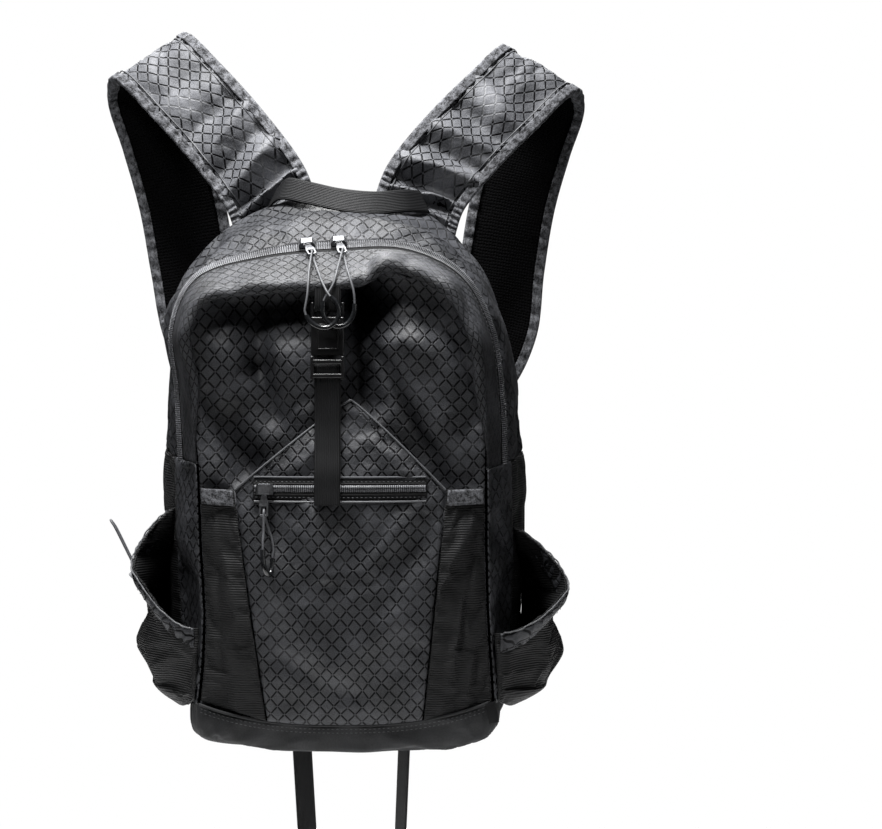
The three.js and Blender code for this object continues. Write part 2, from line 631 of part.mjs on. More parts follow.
// A webbing band in the plane x = buckleX, given by its y and z, with its width along X.
function uprightBand(points, steps) {
  const rows = points.map((p) => ({ x: buckleX, y: p.y, z: p.z, acrossX: 1, acrossY: 0, acrossZ: 0 }));
  return strapWall(rows, webbingWidth, webbing, steps, 1);
}
const roundBar = (barY, barZ, fromAngle, toAngle) =>
  [0, 0.25, 0.5, 0.75, 1].map((t) => {
    const angle = mix(fromAngle, toAngle, t);
    return { y: barY + Math.cos(angle) * barClear, z: barZ + Math.sin(angle) * barClear };
  });
const tabBackY = lipY - cloth / 2 - webbing / 2 - seamGap / 2;
const tabFrontY = tabBackY - webbing - seamGap;
const tabStraight = 2 * barDiameter;
add(
  "upper_tab",
  uprightBand(
    [
      { y: tabFrontY, z: tabTopZ },
      { y: socketY - barClear, z: socketBarZ + tabStraight },
      ...roundBar(socketY, socketBarZ, Math.PI, 2 * Math.PI),
      { y: socketY + barClear, z: socketBarZ + tabStraight },
      { y: tabBackY, z: tabTopZ },
    ],
    24,
  ),
  "webbing",
);
const strapOverPocket = (z, forward) => ({ y: pocketFaceY(buckleX, z) - forward, z });
const onFace = cloth / 2 + seamGap + webbing / 2;
const onStrap = onFace + webbing + seamGap;
const overZip = zipForward + zipCoil / 2 + fitGap + webbing / 2;
const layFromZ = bucklePlugZ - 51;
const liftFromZ = bucklePlugZ - 37;
add(
  "front_strap",
  uprightBand(
    [
      strapOverPocket(layFromZ, onFace),
      strapOverPocket(liftFromZ, onFace),
      { y: plugY + barClear - plugBack, z: plugBarZ - bucklePlugHeight },
      ...roundBar(plugY, plugBarZ, 0, Math.PI),
      { y: plugY - barClear - fitGap, z: plugBarZ - bucklePlugHeight + barDiameter },
      strapOverPocket(liftFromZ + webbing, onStrap + seamGap),
      strapOverPocket(layFromZ - webbing, onStrap),
      strapOverPocket(pocketZipZ + zipWidth, overZip + seamGap),
      strapOverPocket(pocketZipZ, overZip),
      strapOverPocket(frontStrapEndZ, overZip),
    ],
    36,
  ),
  "webbing",
);

// Places a mesh by the point under it, the direction of its length and the direction away from the cloth.
function place(mesh, point, along, normal) {
  const side = normal.clone().cross(along).normalize();
  mesh.quaternion.setFromRotationMatrix(new THREE.Matrix4().makeBasis(along, side, normal));
  mesh.position.copy(point);
}

// Zip sliders: a plate with a bridge, and a pull with a long eye that hangs below it.
function sliderGeometry() {
  const half = sliderLength / 2;
  const top = sliderPlate + sliderBridge;
  const outline = new THREE.Shape([
    new THREE.Vector2(-half, 0),
    new THREE.Vector2(half, 0),
    new THREE.Vector2(half, sliderPlate),
    new THREE.Vector2(half * 0.65, top),
    new THREE.Vector2(-half * 0.65, top),
    new THREE.Vector2(-half, sliderPlate),
  ]);
  const eye = new THREE.Path([
    new THREE.Vector2(-half * 0.45, sliderPlate * 1.1),
    new THREE.Vector2(-half * 0.45, top * 0.8),
    new THREE.Vector2(half * 0.45, top * 0.8),
    new THREE.Vector2(half * 0.45, sliderPlate * 1.1),
  ]);
  outline.holes.push(eye);
  const geometry = new THREE.ExtrudeGeometry(outline, { depth: sliderWidth, bevelEnabled: false });
  return geometry.translate(0, 0, -sliderWidth / 2).rotateX(Math.PI / 2);
}

function pullGeometry() {
  const rim = (pullWidth - cordDiameter * 2.4) / 2;
  const corner = (x, y) => new THREE.Vector2(x, y);
  const half = pullWidth / 2;
  const outline = new THREE.Shape([
    corner(-half * 0.6, 0),
    corner(-half, -pullLength * 0.4),
    corner(-half, -pullLength + rim),
    corner(-half * 0.5, -pullLength),
    corner(half * 0.5, -pullLength),
    corner(half, -pullLength + rim),
    corner(half, -pullLength * 0.4),
    corner(half * 0.6, 0),
  ]);
  const eye = new THREE.Path([
    corner(-half + rim, -pullLength * 0.5),
    corner(half - rim, -pullLength * 0.5),
    corner(half - rim, -pullLength + rim * 1.4),
    corner(-half + rim, -pullLength + rim * 1.4),
  ]);
  outline.holes.push(eye);
  const geometry = new THREE.ExtrudeGeometry(outline, { depth: pullThickness, bevelEnabled: false });
  return geometry.translate(0, 0, -pullThickness / 2);
}

// The pull is turned by pullTilt degrees and stands pullLift off the zip.
function addSlider(name, spot, pullTilt, pullLift) {
  const base = spot.point.clone().addScaledVector(spot.normal, zipCoil / 2 + fitGap);
  place(add(`${name}_slider`, sliderGeometry(), "metal"), base, spot.along, spot.normal);
  const down = spot.up.clone().negate();
  const pullTop = spot.point
    .clone()
    .addScaledVector(down, sliderWidth / 2 + 2 * fitGap)
    .addScaledVector(spot.along, Math.sin(pullTilt * degrees) * (sliderWidth / 2))
    .addScaledVector(spot.normal, pullLift);
  const turned = spot.along.clone().applyAxisAngle(spot.normal, pullTilt * degrees);
  place(add(`${name}_pull`, pullGeometry(), "metal"), pullTop, turned, spot.normal);
}

// The places of the sliders, given by x, with the directions of the zip there.
function mainZipSpot(x) {
  let low = lipFrom;
  let high = lipTo;
  for (let n = 0; n < 24; n++) {
    const middle = (low + high) / 2;
    if (gussetAt(middle, mainZipDepthShare).x < x) low = middle;
    else high = middle;
  }
  const point = gussetAt(low, mainZipDepthShare);
  const along = gussetAt(low + rowStep, mainZipDepthShare).sub(point).normalize();
  const normal = along.clone().cross(gussetAt(low, mainZipDepthShare + sampleStep).sub(point)).normalize();
  return { point, along, normal, up: normal.clone().cross(along) };
}

function pocketZipSpot(x) {
  const at = (dx, dz) => onPocket(x + dx, pocketZipZ + dz, zipForward);
  const along = at(1, 0).sub(at(-1, 0)).normalize();
  const normal = along.clone().cross(at(0, 1).sub(at(0, -1))).normalize();
  return { point: at(0, 0), along, normal, up: normal.clone().cross(along) };
}
const sliderRows = [
  { name: "main_left", spot: mainZipSpot(-27.5), pullTilt: 14, pullLift: 4.2 },
  { name: "main_right", spot: mainZipSpot(-2.5), pullTilt: 10, pullLift: 4.2 },
  { name: "pocket", spot: pocketZipSpot(-57), pullTilt: 0, pullLift: 4.6 },
];
for (const r of sliderRows) addSlider(r.name, r.spot, r.pullTilt, r.pullLift);

// Cords and the bent grips on them, along points chosen by hand. Those of the main zip are measured from the
// crown of the zip, and those of the pocket zip from that zip.
function cordTube(rows, diameter, stepDiameters = 2.7) {
  const path = new THREE.CatmullRomCurve3(rows.map((r) => v3(r.x, r.y, r.z)), false, "centripetal");
  const section = new THREE.Shape().absarc(0, 0, diameter / 2, 0, 2 * Math.PI);
  const steps = Math.ceil(path.getLength() / (stepDiameters * diameter));
  return new THREE.ExtrudeGeometry(section, { steps, extrudePath: path, curveSegments: 4 });
}
const cords = {
  main_left_cord: [
    { x: -25.7, y: -85.4, z: -53.8 },
    { x: -26.5, y: -85.0, z: -50.5 },
    { x: -25.9, y: -84.5, z: -46.2 },
    { x: -24.7, y: -83.0, z: -38.5 },
    { x: -24.2, y: -79.5, z: -29.9 },
    { x: -24.1, y: -73.5, z: -22.6 },
    { x: -23.9, y: -66.0, z: -17.6 },
    { x: -23.6, y: -58.0, z: -12.6 },
    { x: -23.2, y: -53.8, z: -9 },
    { x: -22.9, y: -50.6, z: -6 },
    { x: -22.6, y: -46.8, z: -4 },
    { x: -22.4, y: -44.9, z: -5.6 },
    { x: -22.1, y: -45.0, z: -7.5 },
    { x: -21.7, y: -47.8, z: -9.2 },
    { x: -20.8, y: -53.0, z: -12.2 },
    { x: -19.8, y: -57.0, z: -14.4 },
    { x: -17.8, y: -66.0, z: -19 },
    { x: -16.2, y: -72.0, z: -22.4 },
    { x: -14.6, y: -76.0, z: -26.6 },
    { x: -12.0, y: -80.5, z: -31.7 },
    { x: -9.2, y: -84.0, z: -36.7 },
    { x: -7.0, y: -85.5, z: -39.65 },
  ],
  main_right_cord: [
    { x: -12.1, y: -81.0, z: -43.1 },
    { x: -10.8, y: -81.0, z: -40.1 },
    { x: -8.3, y: -80.6, z: -36.2 },
    { x: -4.8, y: -78.5, z: -29.6 },
    { x: -3.2, y: -75.2, z: -23.8 },
    { x: -2.2, y: -70.0, z: -19 },
    { x: -1.0, y: -62.0, z: -13.4 },
    { x: 0.2, y: -54.5, z: -7.6 },
    { x: 0.9, y: -51.0, z: -4.6 },
    { x: 1.2, y: -47.2, z: -2.6 },
    { x: 1.4, y: -45.3, z: -4.2 },
    { x: 1.7, y: -45.4, z: -6.1 },
    { x: 2.2, y: -48.4, z: -7.7 },
    { x: 2.9, y: -53.4, z: -10.6 },
    { x: 3.6, y: -58.0, z: -13 },
    { x: 4.8, y: -66.0, z: -17.5 },
    { x: 6.2, y: -72.0, z: -21.2 },
    { x: 8.2, y: -77.0, z: -27 },
    { x: 10.7, y: -80.2, z: -35.8 },
    { x: 11.6, y: -81.0, z: -45.1 },
  ],
  pocket_cord: [
    { x: -58.2, y: -100.0, z: -44.8 },
    { x: -58.2, y: -98.8, z: -38.4 },
    { x: -57.8, y: -96.8, z: -31.8 },
    { x: -57.8, y: -95.8, z: -24.4 },
    { x: -57.8, y: -95.2, z: -19.5 },
    { x: -57.8, y: -94.4, z: -16.6 },
    { x: -57.8, y: -92.1, z: -15.2 },
    { x: -57.7, y: -89.8, z: -16.6 },
    { x: -57.2, y: -88.4, z: -19.5 },
    { x: -56.2, y: -87.8, z: -24.1 },
    { x: -54.5, y: -87.6, z: -30.2 },
    { x: -52.2, y: -88.4, z: -37.5 },
    { x: -50.8, y: -89.0, z: -45.5 },
    { x: -51.5, y: -89.8, z: -52.4 },
  ],
  drawcord_left: [
    { x: -167.8, y: -4.6, z: 144.8 },
    { x: -171.0, y: -4.7, z: 151.0 },
    { x: -175.6, y: -4.9, z: 160.5 },
    { x: -180.3, y: -5.1, z: 170.2 },
    { x: -183.9, y: -5.2, z: 177.2 },
    { x: -186.1, y: -4.4, z: 180.4 },
    { x: -186.9, y: -2.4, z: 181.6 },
    { x: -186.1, y: -0.4, z: 180.2 },
    { x: -183.7, y: 0.4, z: 176.8 },
    { x: -179.9, y: 0.3, z: 169.6 },
    { x: -175.2, y: 0.1, z: 159.9 },
    { x: -170.6, y: -0.1, z: 150.4 },
    { x: -167.4, y: -0.2, z: 144.2 },
  ],
};
const grips = {
  main_left_grip: [
    { x: -25.55, y: -85.5, z: -54.2 },
    { x: -23.1, y: -85.8, z: -57.9 },
    { x: -19.5, y: -85.8, z: -61.1 },
    { x: -14.9, y: -85.8, z: -63.2 },
    { x: -10.3, y: -85.8, z: -63.6 },
    { x: -6.0, y: -85.8, z: -61.9 },
    { x: -2.6, y: -85.8, z: -58.7 },
    { x: -0.5, y: -85.8, z: -54.1 },
    { x: -0.6, y: -85.8, z: -48.8 },
    { x: -3.1, y: -85.8, z: -43.7 },
    { x: -6.7, y: -85.6, z: -39.95 },
  ],
  main_right_grip: [
    { x: 11.6, y: -81.05, z: -45.5 },
    { x: 11.3, y: -81.2, z: -50.8 },
    { x: 9.7, y: -81.2, z: -55.4 },
    { x: 6.7, y: -81.2, z: -59.7 },
    { x: 2.2, y: -81.2, z: -62.3 },
    { x: -2.8, y: -81.2, z: -62.7 },
    { x: -7.4, y: -81.2, z: -60.9 },
    { x: -10.6, y: -81.2, z: -57.7 },
    { x: -12.5, y: -81.2, z: -53.1 },
    { x: -12.8, y: -81.2, z: -48.5 },
    { x: -12.2, y: -81.1, z: -43.5 },
  ],
  pocket_grip: [
    { x: -58.2, y: -100.1, z: -45.2 },
    { x: -58.1, y: -101.4, z: -51.1 },
    { x: -57.5, y: -102.0, z: -56.4 },
    { x: -56.2, y: -101.0, z: -60.8 },
    { x: -54.7, y: -98.4, z: -64 },
    { x: -53.3, y: -95.0, z: -64.6 },
    { x: -52.3, y: -92.0, z: -61.9 },
    { x: -51.7, y: -90.4, z: -57.7 },
    { x: -51.55, y: -89.85, z: -52.8 },
  ],
};
const zipCrownZ = gussetAt(lastRow / 2, mainZipDepthShare).z;
function fromZip(name, rows) {
  const datumZ = { main: zipCrownZ, pocket: pocketZipZ }[name.split("_")[0]] ?? 0;
  return rows.map((r) => ({ ...r, z: r.z + datumZ }));
}
for (const [name, rows] of Object.entries(cords)) {
  add(name, cordTube(fromZip(name, rows), cordDiameter), "cord");
}
for (const [name, rows] of Object.entries(grips)) {
  add(name, cordTube(fromZip(name, rows), gripDiameter, 1.2), "cord");
}

// The lock on the drawcord of the left bottle pocket: a round toggle across the two runs of the cord.
const lockMiddle = v3(-165.2, -2.4, 141.4);
const lockAlong = v3(0.71, 0, 0.7).normalize();
const lock = add(
  "cord_lock_left",
  new THREE.CylinderGeometry(lockDiameter / 2, lockDiameter / 2, lockLength, 10).rotateZ(-Math.PI / 2),
  "plastic",
);
place(lock, lockMiddle, lockAlong, v3(0, -1, 0));

// A small loop of tape sewn into the corner of the base tray.
const cornerTape = [
  { x: 116, y: 0, z: 45, acrossX: 1, acrossY: 0, acrossZ: 0.3 },
  { x: 117.5, y: -0.4, z: 37, acrossX: 1, acrossY: 0, acrossZ: 0.25 },
  { x: 119, y: 0, z: 29, acrossX: 1, acrossY: 0, acrossZ: 0.2 },
].map((r) => ({ ...r, y: frontSeamY - layerClear * 2 + r.y }));
add("corner_loop", strapWall(cornerTape, 8, webbing, 4, 1), "webbing");

// Behind: a ladder lock at the end of each pad, and the webbing from the foot of the side seam
// through the lock, whose tail hangs free below the base.
const lockTurn = lockFrame * 0.71 + fitGap + webbing / 2;
function lockGeometry() {
  const half = webbingWidth / 2 + fitGap + lockFrame;
  const outline = new THREE.Shape([
    new THREE.Vector2(-half, 0),
    new THREE.Vector2(half, 0),
    new THREE.Vector2(half, -lockHeight),
    new THREE.Vector2(-half, -lockHeight),
  ]);
  const slotTops = [lockFrame, lockHeight - lockFrame - lockTurn * 2];
  const slotHeights = [lockHeight - 3 * lockFrame - lockTurn * 2, lockTurn * 2];
  slotTops.forEach((top, i) => {
    const inner = half - lockFrame;
    const foot = top + slotHeights[i];
    outline.holes.push(
      new THREE.Path([
        new THREE.Vector2(-inner, -top),
        new THREE.Vector2(-inner, -foot),
        new THREE.Vector2(inner, -foot),
        new THREE.Vector2(inner, -top),
      ]),
    );
  });
  const geometry = new THREE.ExtrudeGeometry(outline, { depth: lockFrame, bevelEnabled: false });
  return geometry.translate(0, 0, -lockFrame / 2);
}

const anchorRows = [
  { x: -128, y: 0, z: 44, acrossX: 0.97, acrossY: 0, acrossZ: -0.25 },
  { x: -125, y: 0.2, z: 56, acrossX: 0.96, acrossY: 0, acrossZ: -0.28 },
  { x: -112, y: 9, z: 98, acrossX: 0.95, acrossY: 0, acrossZ: -0.3 },
  { x: -90, y: 24, z: 158, acrossX: 0.96, acrossY: 0, acrossZ: -0.1 },
];
for (const [name, side] of Object.entries(strapSides)) {
  const end = onSide(side, strapRows[strapRows.length - 1]);
  const before = onSide(side, strapRows[strapRows.length - 2]);
  const endPoint = v3(end.x, end.y, end.z);
  const down = endPoint.clone().sub(v3(before.x, before.y, before.z)).normalize();
  const across = v3(end.acrossX, end.acrossY, end.acrossZ).normalize();
  const normal = across.clone().cross(down).normalize().negate();
  const top = endPoint.clone().addScaledVector(down, fitGap);
  place(add(`ladder_lock_${name}`, lockGeometry(), "plastic"), top, across, normal);
  const barAt = top.clone().addScaledVector(down, lockHeight - lockFrame / 2);
  const outer = normal.y > 0 ? normal : normal.clone().negate();
  const turn = [0, 0.25, 0.5, 0.75, 1].map((t) => {
    const angle = Math.PI * t;
    const p = barAt.clone();
    p.addScaledVector(outer, -Math.cos(angle) * lockTurn).addScaledVector(down, -Math.sin(angle) * lockTurn);
    return { x: p.x, y: p.y, z: p.z, acrossX: across.x, acrossY: across.y, acrossZ: across.z };
  });
  const anchorY = backSeamY + backPad / 2 + seamGap + webbing / 2;
  const anchor = anchorRows.map((r) => ({
    x: r.x * side.hand,
    y: anchorY + r.y,
    z: r.z,
    acrossX: r.acrossX,
    acrossY: 0,
    acrossZ: r.acrossZ * side.hand,
  }));
  const turned = side.tailTurn * degrees;
  const tail = [0.25, 0.6, 1].map((t) => {
    const twist = Math.min(1, t * 1.6);
    return {
      x: mix(side.tailTopX, side.tailFootX, t),
      y: barAt.y + lockTurn + mix(tailBack / 2, -tailBack, t),
      z: mix(barAt.z, tailFootZ, t),
      acrossX: mix(across.x, Math.cos(turned), twist),
      acrossY: mix(across.y, Math.sin(turned) * side.hand, twist),
      acrossZ: mix(across.z, 0, twist),
    };
  });
  const run = strapWall([...anchor, ...turn, ...tail], webbingWidth, webbing, 44);
  add(`strap_webbing_${name}`, run, "webbing");
}

body.position.set(0, -crestY, -(crestZ - padThickness));

export default pack;
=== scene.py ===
# A packable ripstop daypack, standing in the air as it is worn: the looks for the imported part.
# Lengths are millimetres measured from the middle of the pack's base unless a name says metres.
# x runs to the right of the picture, y away from the camera and z up.
import math

import bmesh
import bpy
import numpy as np
from mathutils import Matrix, Vector, noise


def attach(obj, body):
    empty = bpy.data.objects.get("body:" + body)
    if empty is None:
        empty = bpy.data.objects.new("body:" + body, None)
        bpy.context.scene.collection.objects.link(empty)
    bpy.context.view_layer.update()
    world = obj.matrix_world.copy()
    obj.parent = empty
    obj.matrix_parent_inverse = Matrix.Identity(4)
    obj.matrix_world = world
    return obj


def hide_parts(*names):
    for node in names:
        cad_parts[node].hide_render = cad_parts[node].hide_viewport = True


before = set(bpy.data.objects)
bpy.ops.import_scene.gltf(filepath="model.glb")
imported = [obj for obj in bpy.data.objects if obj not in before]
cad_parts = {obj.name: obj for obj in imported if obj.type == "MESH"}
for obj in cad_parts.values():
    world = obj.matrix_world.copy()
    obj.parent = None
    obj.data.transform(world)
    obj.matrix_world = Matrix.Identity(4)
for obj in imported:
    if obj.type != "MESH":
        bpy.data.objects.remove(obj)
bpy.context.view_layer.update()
scene = bpy.context.scene
print("frame loaded:", len(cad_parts), "nodes")


# Places, shares and smooth curves
crest = {"y": 136, "z": 552}  # the part's origin lies between the crests of the straps


def toFrame(points):
    return (np.asarray(points, float) - (0, crest["y"], crest["z"])) / 1000


def ease(t):
    t = np.clip(t, 0, 1)
    return t * t * (3 - 2 * t)


def hump(t):
    return np.sin(np.pi * np.clip(t, 0, 1))


def mix(a, b, t):
    return a + (b - a) * t


def unit(vectors):
    return vectors / np.maximum(np.linalg.norm(vectors, axis=-1, keepdims=True), 1e-9)


def columnsOf(*parts):
    return np.stack(np.broadcast_arrays(*parts), axis=-1)


# A smooth curve through points, at shares t of its spans.
def through(points, t):
    points = np.asarray(points, float)
    spans = len(points) - 1
    along = np.clip(np.asarray(t, float), 0, 1) * spans
    span = np.minimum(np.floor(along).astype(int), spans - 1)
    w = (along - span)[..., None]
    ends = np.vstack([2 * points[0] - points[1], points, 2 * points[-1] - points[-2]])
    p0, p1, p2, p3 = ends[span], ends[span + 1], ends[span + 2], ends[span + 3]
    d0, d1, d2 = (
        np.maximum(np.linalg.norm(b - a, axis=-1, keepdims=True), 1e-6) ** 0.5
        for a, b in ((p0, p1), (p1, p2), (p2, p3))
    )
    start = ((p1 - p0) / d0 - (p2 - p0) / (d0 + d1) + (p2 - p1) / d1) * d1
    end = ((p2 - p1) / d1 - (p3 - p1) / (d1 + d2) + (p3 - p2) / d2) * d1
    return p1 + w * (start + w * (3 * (p2 - p1) - 2 * start - end + w * (2 * (p1 - p2) + start + end)))


# Soft random swells of a given size in millimetres, the same on every run.
def swell(points, size, seed=0.0):
    shift = Vector((seed * 7.3, seed * 3.1, seed * 5.7))
    return np.array([noise.noise(Vector(p) / size + shift) for p in np.asarray(points, float)])


# Camera, lights and floor
view = {"target": (77.6, 0, 266), "distance": 2000, "elevation": 3, "lensMm": 102.04}
lights = [
    # name, place, aimed at, size in metres, watts
    {"name": "topSoftbox", "at": (-150, -200, 1500), "aim": (0, -20, 250), "size": (0.6, 0.4), "power": 60},
    {"name": "backSoftbox", "at": (-100, 900, 1250), "aim": (0, 0, 400), "size": (1.2, 0.4), "power": 24},
    {"name": "leftKey", "at": (-620, -1050, 1650), "aim": (0, 0, 250), "size": (0.35, 0.35), "power": 17},
    {"name": "rightFill", "at": (1300, -1100, 600), "aim": (0, 0, 200), "size": (0.4, 0.8), "power": 3},
]


def makeCamera():
    data = bpy.data.cameras.new("photoCamera")
    data.sensor_width = 36
    data.lens = view["lensMm"]
    data.clip_end = 100
    camera = bpy.data.objects.new("photoCamera", data)
    scene.collection.objects.link(camera)
    tilt = math.radians(view["elevation"])
    back = Vector((0, -math.cos(tilt), math.sin(tilt)))
    camera.location = Vector(toFrame(view["target"])) + back * (view["distance"] / 1000)
    camera.rotation_euler = (-back).to_track_quat("-Z", "Y").to_euler()
    scene.camera = camera


def makeLights():
    for light in lights:
        data = bpy.data.lights.new(light["name"], "AREA")
        data.shape = "RECTANGLE"
        data.size, data.size_y = light["size"]
        data.energy = light["power"]
        lamp = bpy.data.objects.new(light["name"], data)
        scene.collection.objects.link(lamp)
        lamp.location = toFrame(light["at"])
        aim = Vector(toFrame(light["aim"])) - lamp.location
        lamp.rotation_euler = aim.to_track_quat("-Z", "Y").to_euler()
    world = bpy.data.worlds.new("paleRoom")
    world.use_nodes = True
    tree = world.node_tree
    path = addNode(tree, "ShaderNodeLightPath")
    strength = addNode(tree, "ShaderNodeMapRange", {0: path.outputs["Is Camera Ray"], 3: 0.02, 4: 1.0})
    room = tree.nodes["Background"]
    room.inputs["Color"].default_value = (1, 1, 1, 1)
    tree.links.new(strength.outputs[0], room.inputs["Strength"])
    scene.world = world
    scene.view_settings.view_transform = "Standard"


def linear(hexColour):
    shares = [int(hexColour[i : i + 2], 16) / 255 for i in (1, 3, 5)]
    return [s / 12.92 if s <= 0.04045 else ((s + 0.055) / 1.055) ** 2.4 for s in shares] + [1]


# Adds a node with its settings, and sets or links its inputs.
def addNode(tree, kind, inputs=None, **settings):
    node = tree.nodes.new(kind)
    for name, value in settings.items():
        setattr(node, name, value)
    for name, value in (inputs or {}).items():
        if isinstance(value, bpy.types.NodeSocket):
            tree.links.new(value, node.inputs[name])
        else:
            node.inputs[name].default_value = value
    return node


def newMaterial(name):
    material = bpy.data.materials.new(name)
    material.use_nodes = True
    tree = material.node_tree
    return material, tree, tree.nodes["Principled BSDF"]


def makeFloor():
    bm = bmesh.new()
    bmesh.ops.create_grid(bm, x_segments=1, y_segments=1, size=0.55)
    bmesh.ops.translate(bm, verts=bm.verts, vec=(0, -0.05, -0.76))
    mesh = bpy.data.meshes.new("studioFloor")
    bm.to_mesh(mesh)
    bm.free()
    floor = bpy.data.objects.new("studioFloor", mesh)
    scene.collection.objects.link(floor)
    material, tree, shader = newMaterial("paintedFloor")
    shader.inputs["Base Color"].default_value = linear("#f7f7f7")
    shader.inputs["Roughness"].default_value = 0.9
    mesh.materials.append(material)


makeCamera()
makeLights()
makeFloor()
print("camera, lights and floor")


# Materials

# Nylon woven with thicker yarns in a net of small diamonds and coated: dark, half matt, with a crumpled
# surface. The yarns sit low; their near black colour is their own dark with the shade of their sunken lines
# painted in. In random patches the yarns are painted pale as glints, a painted highlight. They thin out
# where two cross.
ripstopCloth = {
    "cellWidth": 10.8,
    "cellHeight": 12.6,
    "yarn": 0.075,
    "sway": 1.6,
    "weave": 0.9,
    "crumple": 22,
    "crease": 45,
    # yarnColour carries painted shade of the sunken yarns; glintColour is a painted glint
    "yarnColour": "#070708",
    "glintColour": "#a9aaad",
}


# tile and tileLight are the cloth's two tones; glint tells how far its yarns are painted pale in patches, a
# painted highlight.
def makeRipstop(name, tile, tileLight, gloss, glint):
    material, tree, shader = newMaterial(name)
    cloth = addNode(tree, "ShaderNodeUVMap", uv_map="cloth")
    turned = addNode(tree, "ShaderNodeMapping", {"Vector": cloth.outputs[0], "Scale": (1000, 1000, 1000)})
    bent = addNode(tree, "ShaderNodeTexNoise", {"Vector": turned.outputs[0], "Scale": 0.05, "Detail": 1.0})
    centre = (0.5, 0.5, 0.5)
    shift = addNode(
        tree, "ShaderNodeVectorMath", {0: bent.outputs["Color"], 1: centre}, operation="SUBTRACT"
    )
    sway = addNode(
        tree, "ShaderNodeVectorMath", {0: shift.outputs[0], "Scale": ripstopCloth["sway"]}, operation="SCALE"
    )
    laid = addNode(tree, "ShaderNodeVectorMath", {0: turned.outputs[0], 1: sway.outputs[0]})
    split = addNode(tree, "ShaderNodeSeparateXYZ", {0: laid.outputs[0]})
    across = addNode(
        tree, "ShaderNodeMath", {0: split.outputs[0], 1: ripstopCloth["cellWidth"]}, operation="DIVIDE"
    )
    up = addNode(
        tree, "ShaderNodeMath", {0: split.outputs[1], 1: ripstopCloth["cellHeight"]}, operation="DIVIDE"
    )
    yarnHalf = ripstopCloth["yarn"]
    yarns = []
    for way in ("ADD", "SUBTRACT"):
        slant = addNode(tree, "ShaderNodeMath", {0: across.outputs[0], 1: up.outputs[0]}, operation=way)
        away = addNode(tree, "ShaderNodeMath", {0: slant.outputs[0], 1: 0.5}, operation="PINGPONG")
        line = addNode(
            tree,
            "ShaderNodeMapRange",
            {0: away.outputs[0], 1: yarnHalf * 0.6, 2: yarnHalf * 1.5, 3: 1.0, 4: 0.0},
            interpolation_type="SMOOTHSTEP",
        )
        yarns.append(line)
    apart = addNode(
        tree, "ShaderNodeMath", {0: yarns[0].outputs[0], 1: yarns[1].outputs[0]}, operation="SUBTRACT"
    )
    yarn = addNode(tree, "ShaderNodeMath", {0: apart.outputs[0]}, operation="ABSOLUTE")
    weave = addNode(
        tree,
        "ShaderNodeTexNoise",
        {"Vector": turned.outputs[0], "Scale": 1 / ripstopCloth["weave"], "Detail": 2.0, "Roughness": 0.7},
    )
    patches = addNode(tree, "ShaderNodeTexNoise", {"Vector": turned.outputs[0], "Scale": 0.03, "Detail": 3.0})
    mottle = addNode(tree, "ShaderNodeMath", {0: weave.outputs[0], 1: patches.outputs[0]})
    tone = addNode(tree, "ShaderNodeMapRange", {0: mottle.outputs[0], 1: 0.8, 2: 1.2})
    tiles = addNode(
        tree,
        "ShaderNodeMix",
        {"Factor": tone.outputs[0], 6: linear(tile), 7: linear(tileLight)},
        data_type="RGBA",
    )
    # Painted glints: in random patches the yarns are painted pale, a painted highlight that does not follow
    # the lamps
    glints = addNode(
        tree,
        "ShaderNodeMapRange",
        {0: patches.outputs[0], 1: 0.5, 2: 0.62, 4: glint},
        interpolation_type="SMOOTHSTEP",
    )
    threads = addNode(
        tree,
        "ShaderNodeMix",
        {
            "Factor": glints.outputs[0],
            6: linear(ripstopCloth["yarnColour"]),
            7: linear(ripstopCloth["glintColour"]),
        },
        data_type="RGBA",
    )
    colour = addNode(
        tree,
        "ShaderNodeMix",
        {"Factor": yarn.outputs[0], 6: tiles.outputs[2], 7: threads.outputs[2]},
        data_type="RGBA",
    )
    tree.links.new(colour.outputs[2], shader.inputs["Base Color"])
    bare = addNode(tree, "ShaderNodeMapRange", {0: glints.outputs[0], 3: 0.08, 4: 0.4})
    shine = addNode(
        tree, "ShaderNodeMix", {"Factor": yarn.outputs[0], 2: 0.4, 3: bare.outputs[0]}, data_type="FLOAT"
    )
    tree.links.new(shine.outputs[0], shader.inputs["Specular IOR Level"])
    rough = addNode(tree, "ShaderNodeMapRange", {0: yarn.outputs[0], 3: gloss, 4: gloss * 0.7})
    tree.links.new(rough.outputs[0], shader.inputs["Roughness"])
    crumple = addNode(
        tree,
        "ShaderNodeTexNoise",
        {"Vector": turned.outputs[0], "Scale": 1 / ripstopCloth["crumple"], "Detail": 4.0, "Roughness": 0.55},
    )
    sharp = addNode(
        tree,
        "ShaderNodeTexNoise",
        {"Vector": turned.outputs[0], "Scale": 1 / ripstopCloth["crease"], "Detail": 1.0},
        noise_type="RIDGED_MULTIFRACTAL",
    )
    creased = addNode(tree, "ShaderNodeMath", {0: sharp.outputs[0], 1: 0.5}, operation="MULTIPLY")
    folds = addNode(
        tree,
        "ShaderNodeMath",
        {0: crumple.outputs[0], 1: 2.4, 2: creased.outputs[0]},
        operation="MULTIPLY_ADD",
    )
    sunk = addNode(
        tree, "ShaderNodeMath", {0: yarn.outputs[0], 1: -0.22, 2: folds.outputs[0]}, operation="MULTIPLY_ADD"
    )
    height = addNode(
        tree, "ShaderNodeMath", {0: weave.outputs[0], 1: 0.10, 2: sunk.outputs[0]}, operation="MULTIPLY_ADD"
    )
    bump = addNode(tree, "ShaderNodeBump", {"Strength": 1.0, "Distance": 0.001, "Height": height.outputs[0]})
    tree.links.new(bump.outputs[0], shader.inputs["Normal"])
    return material
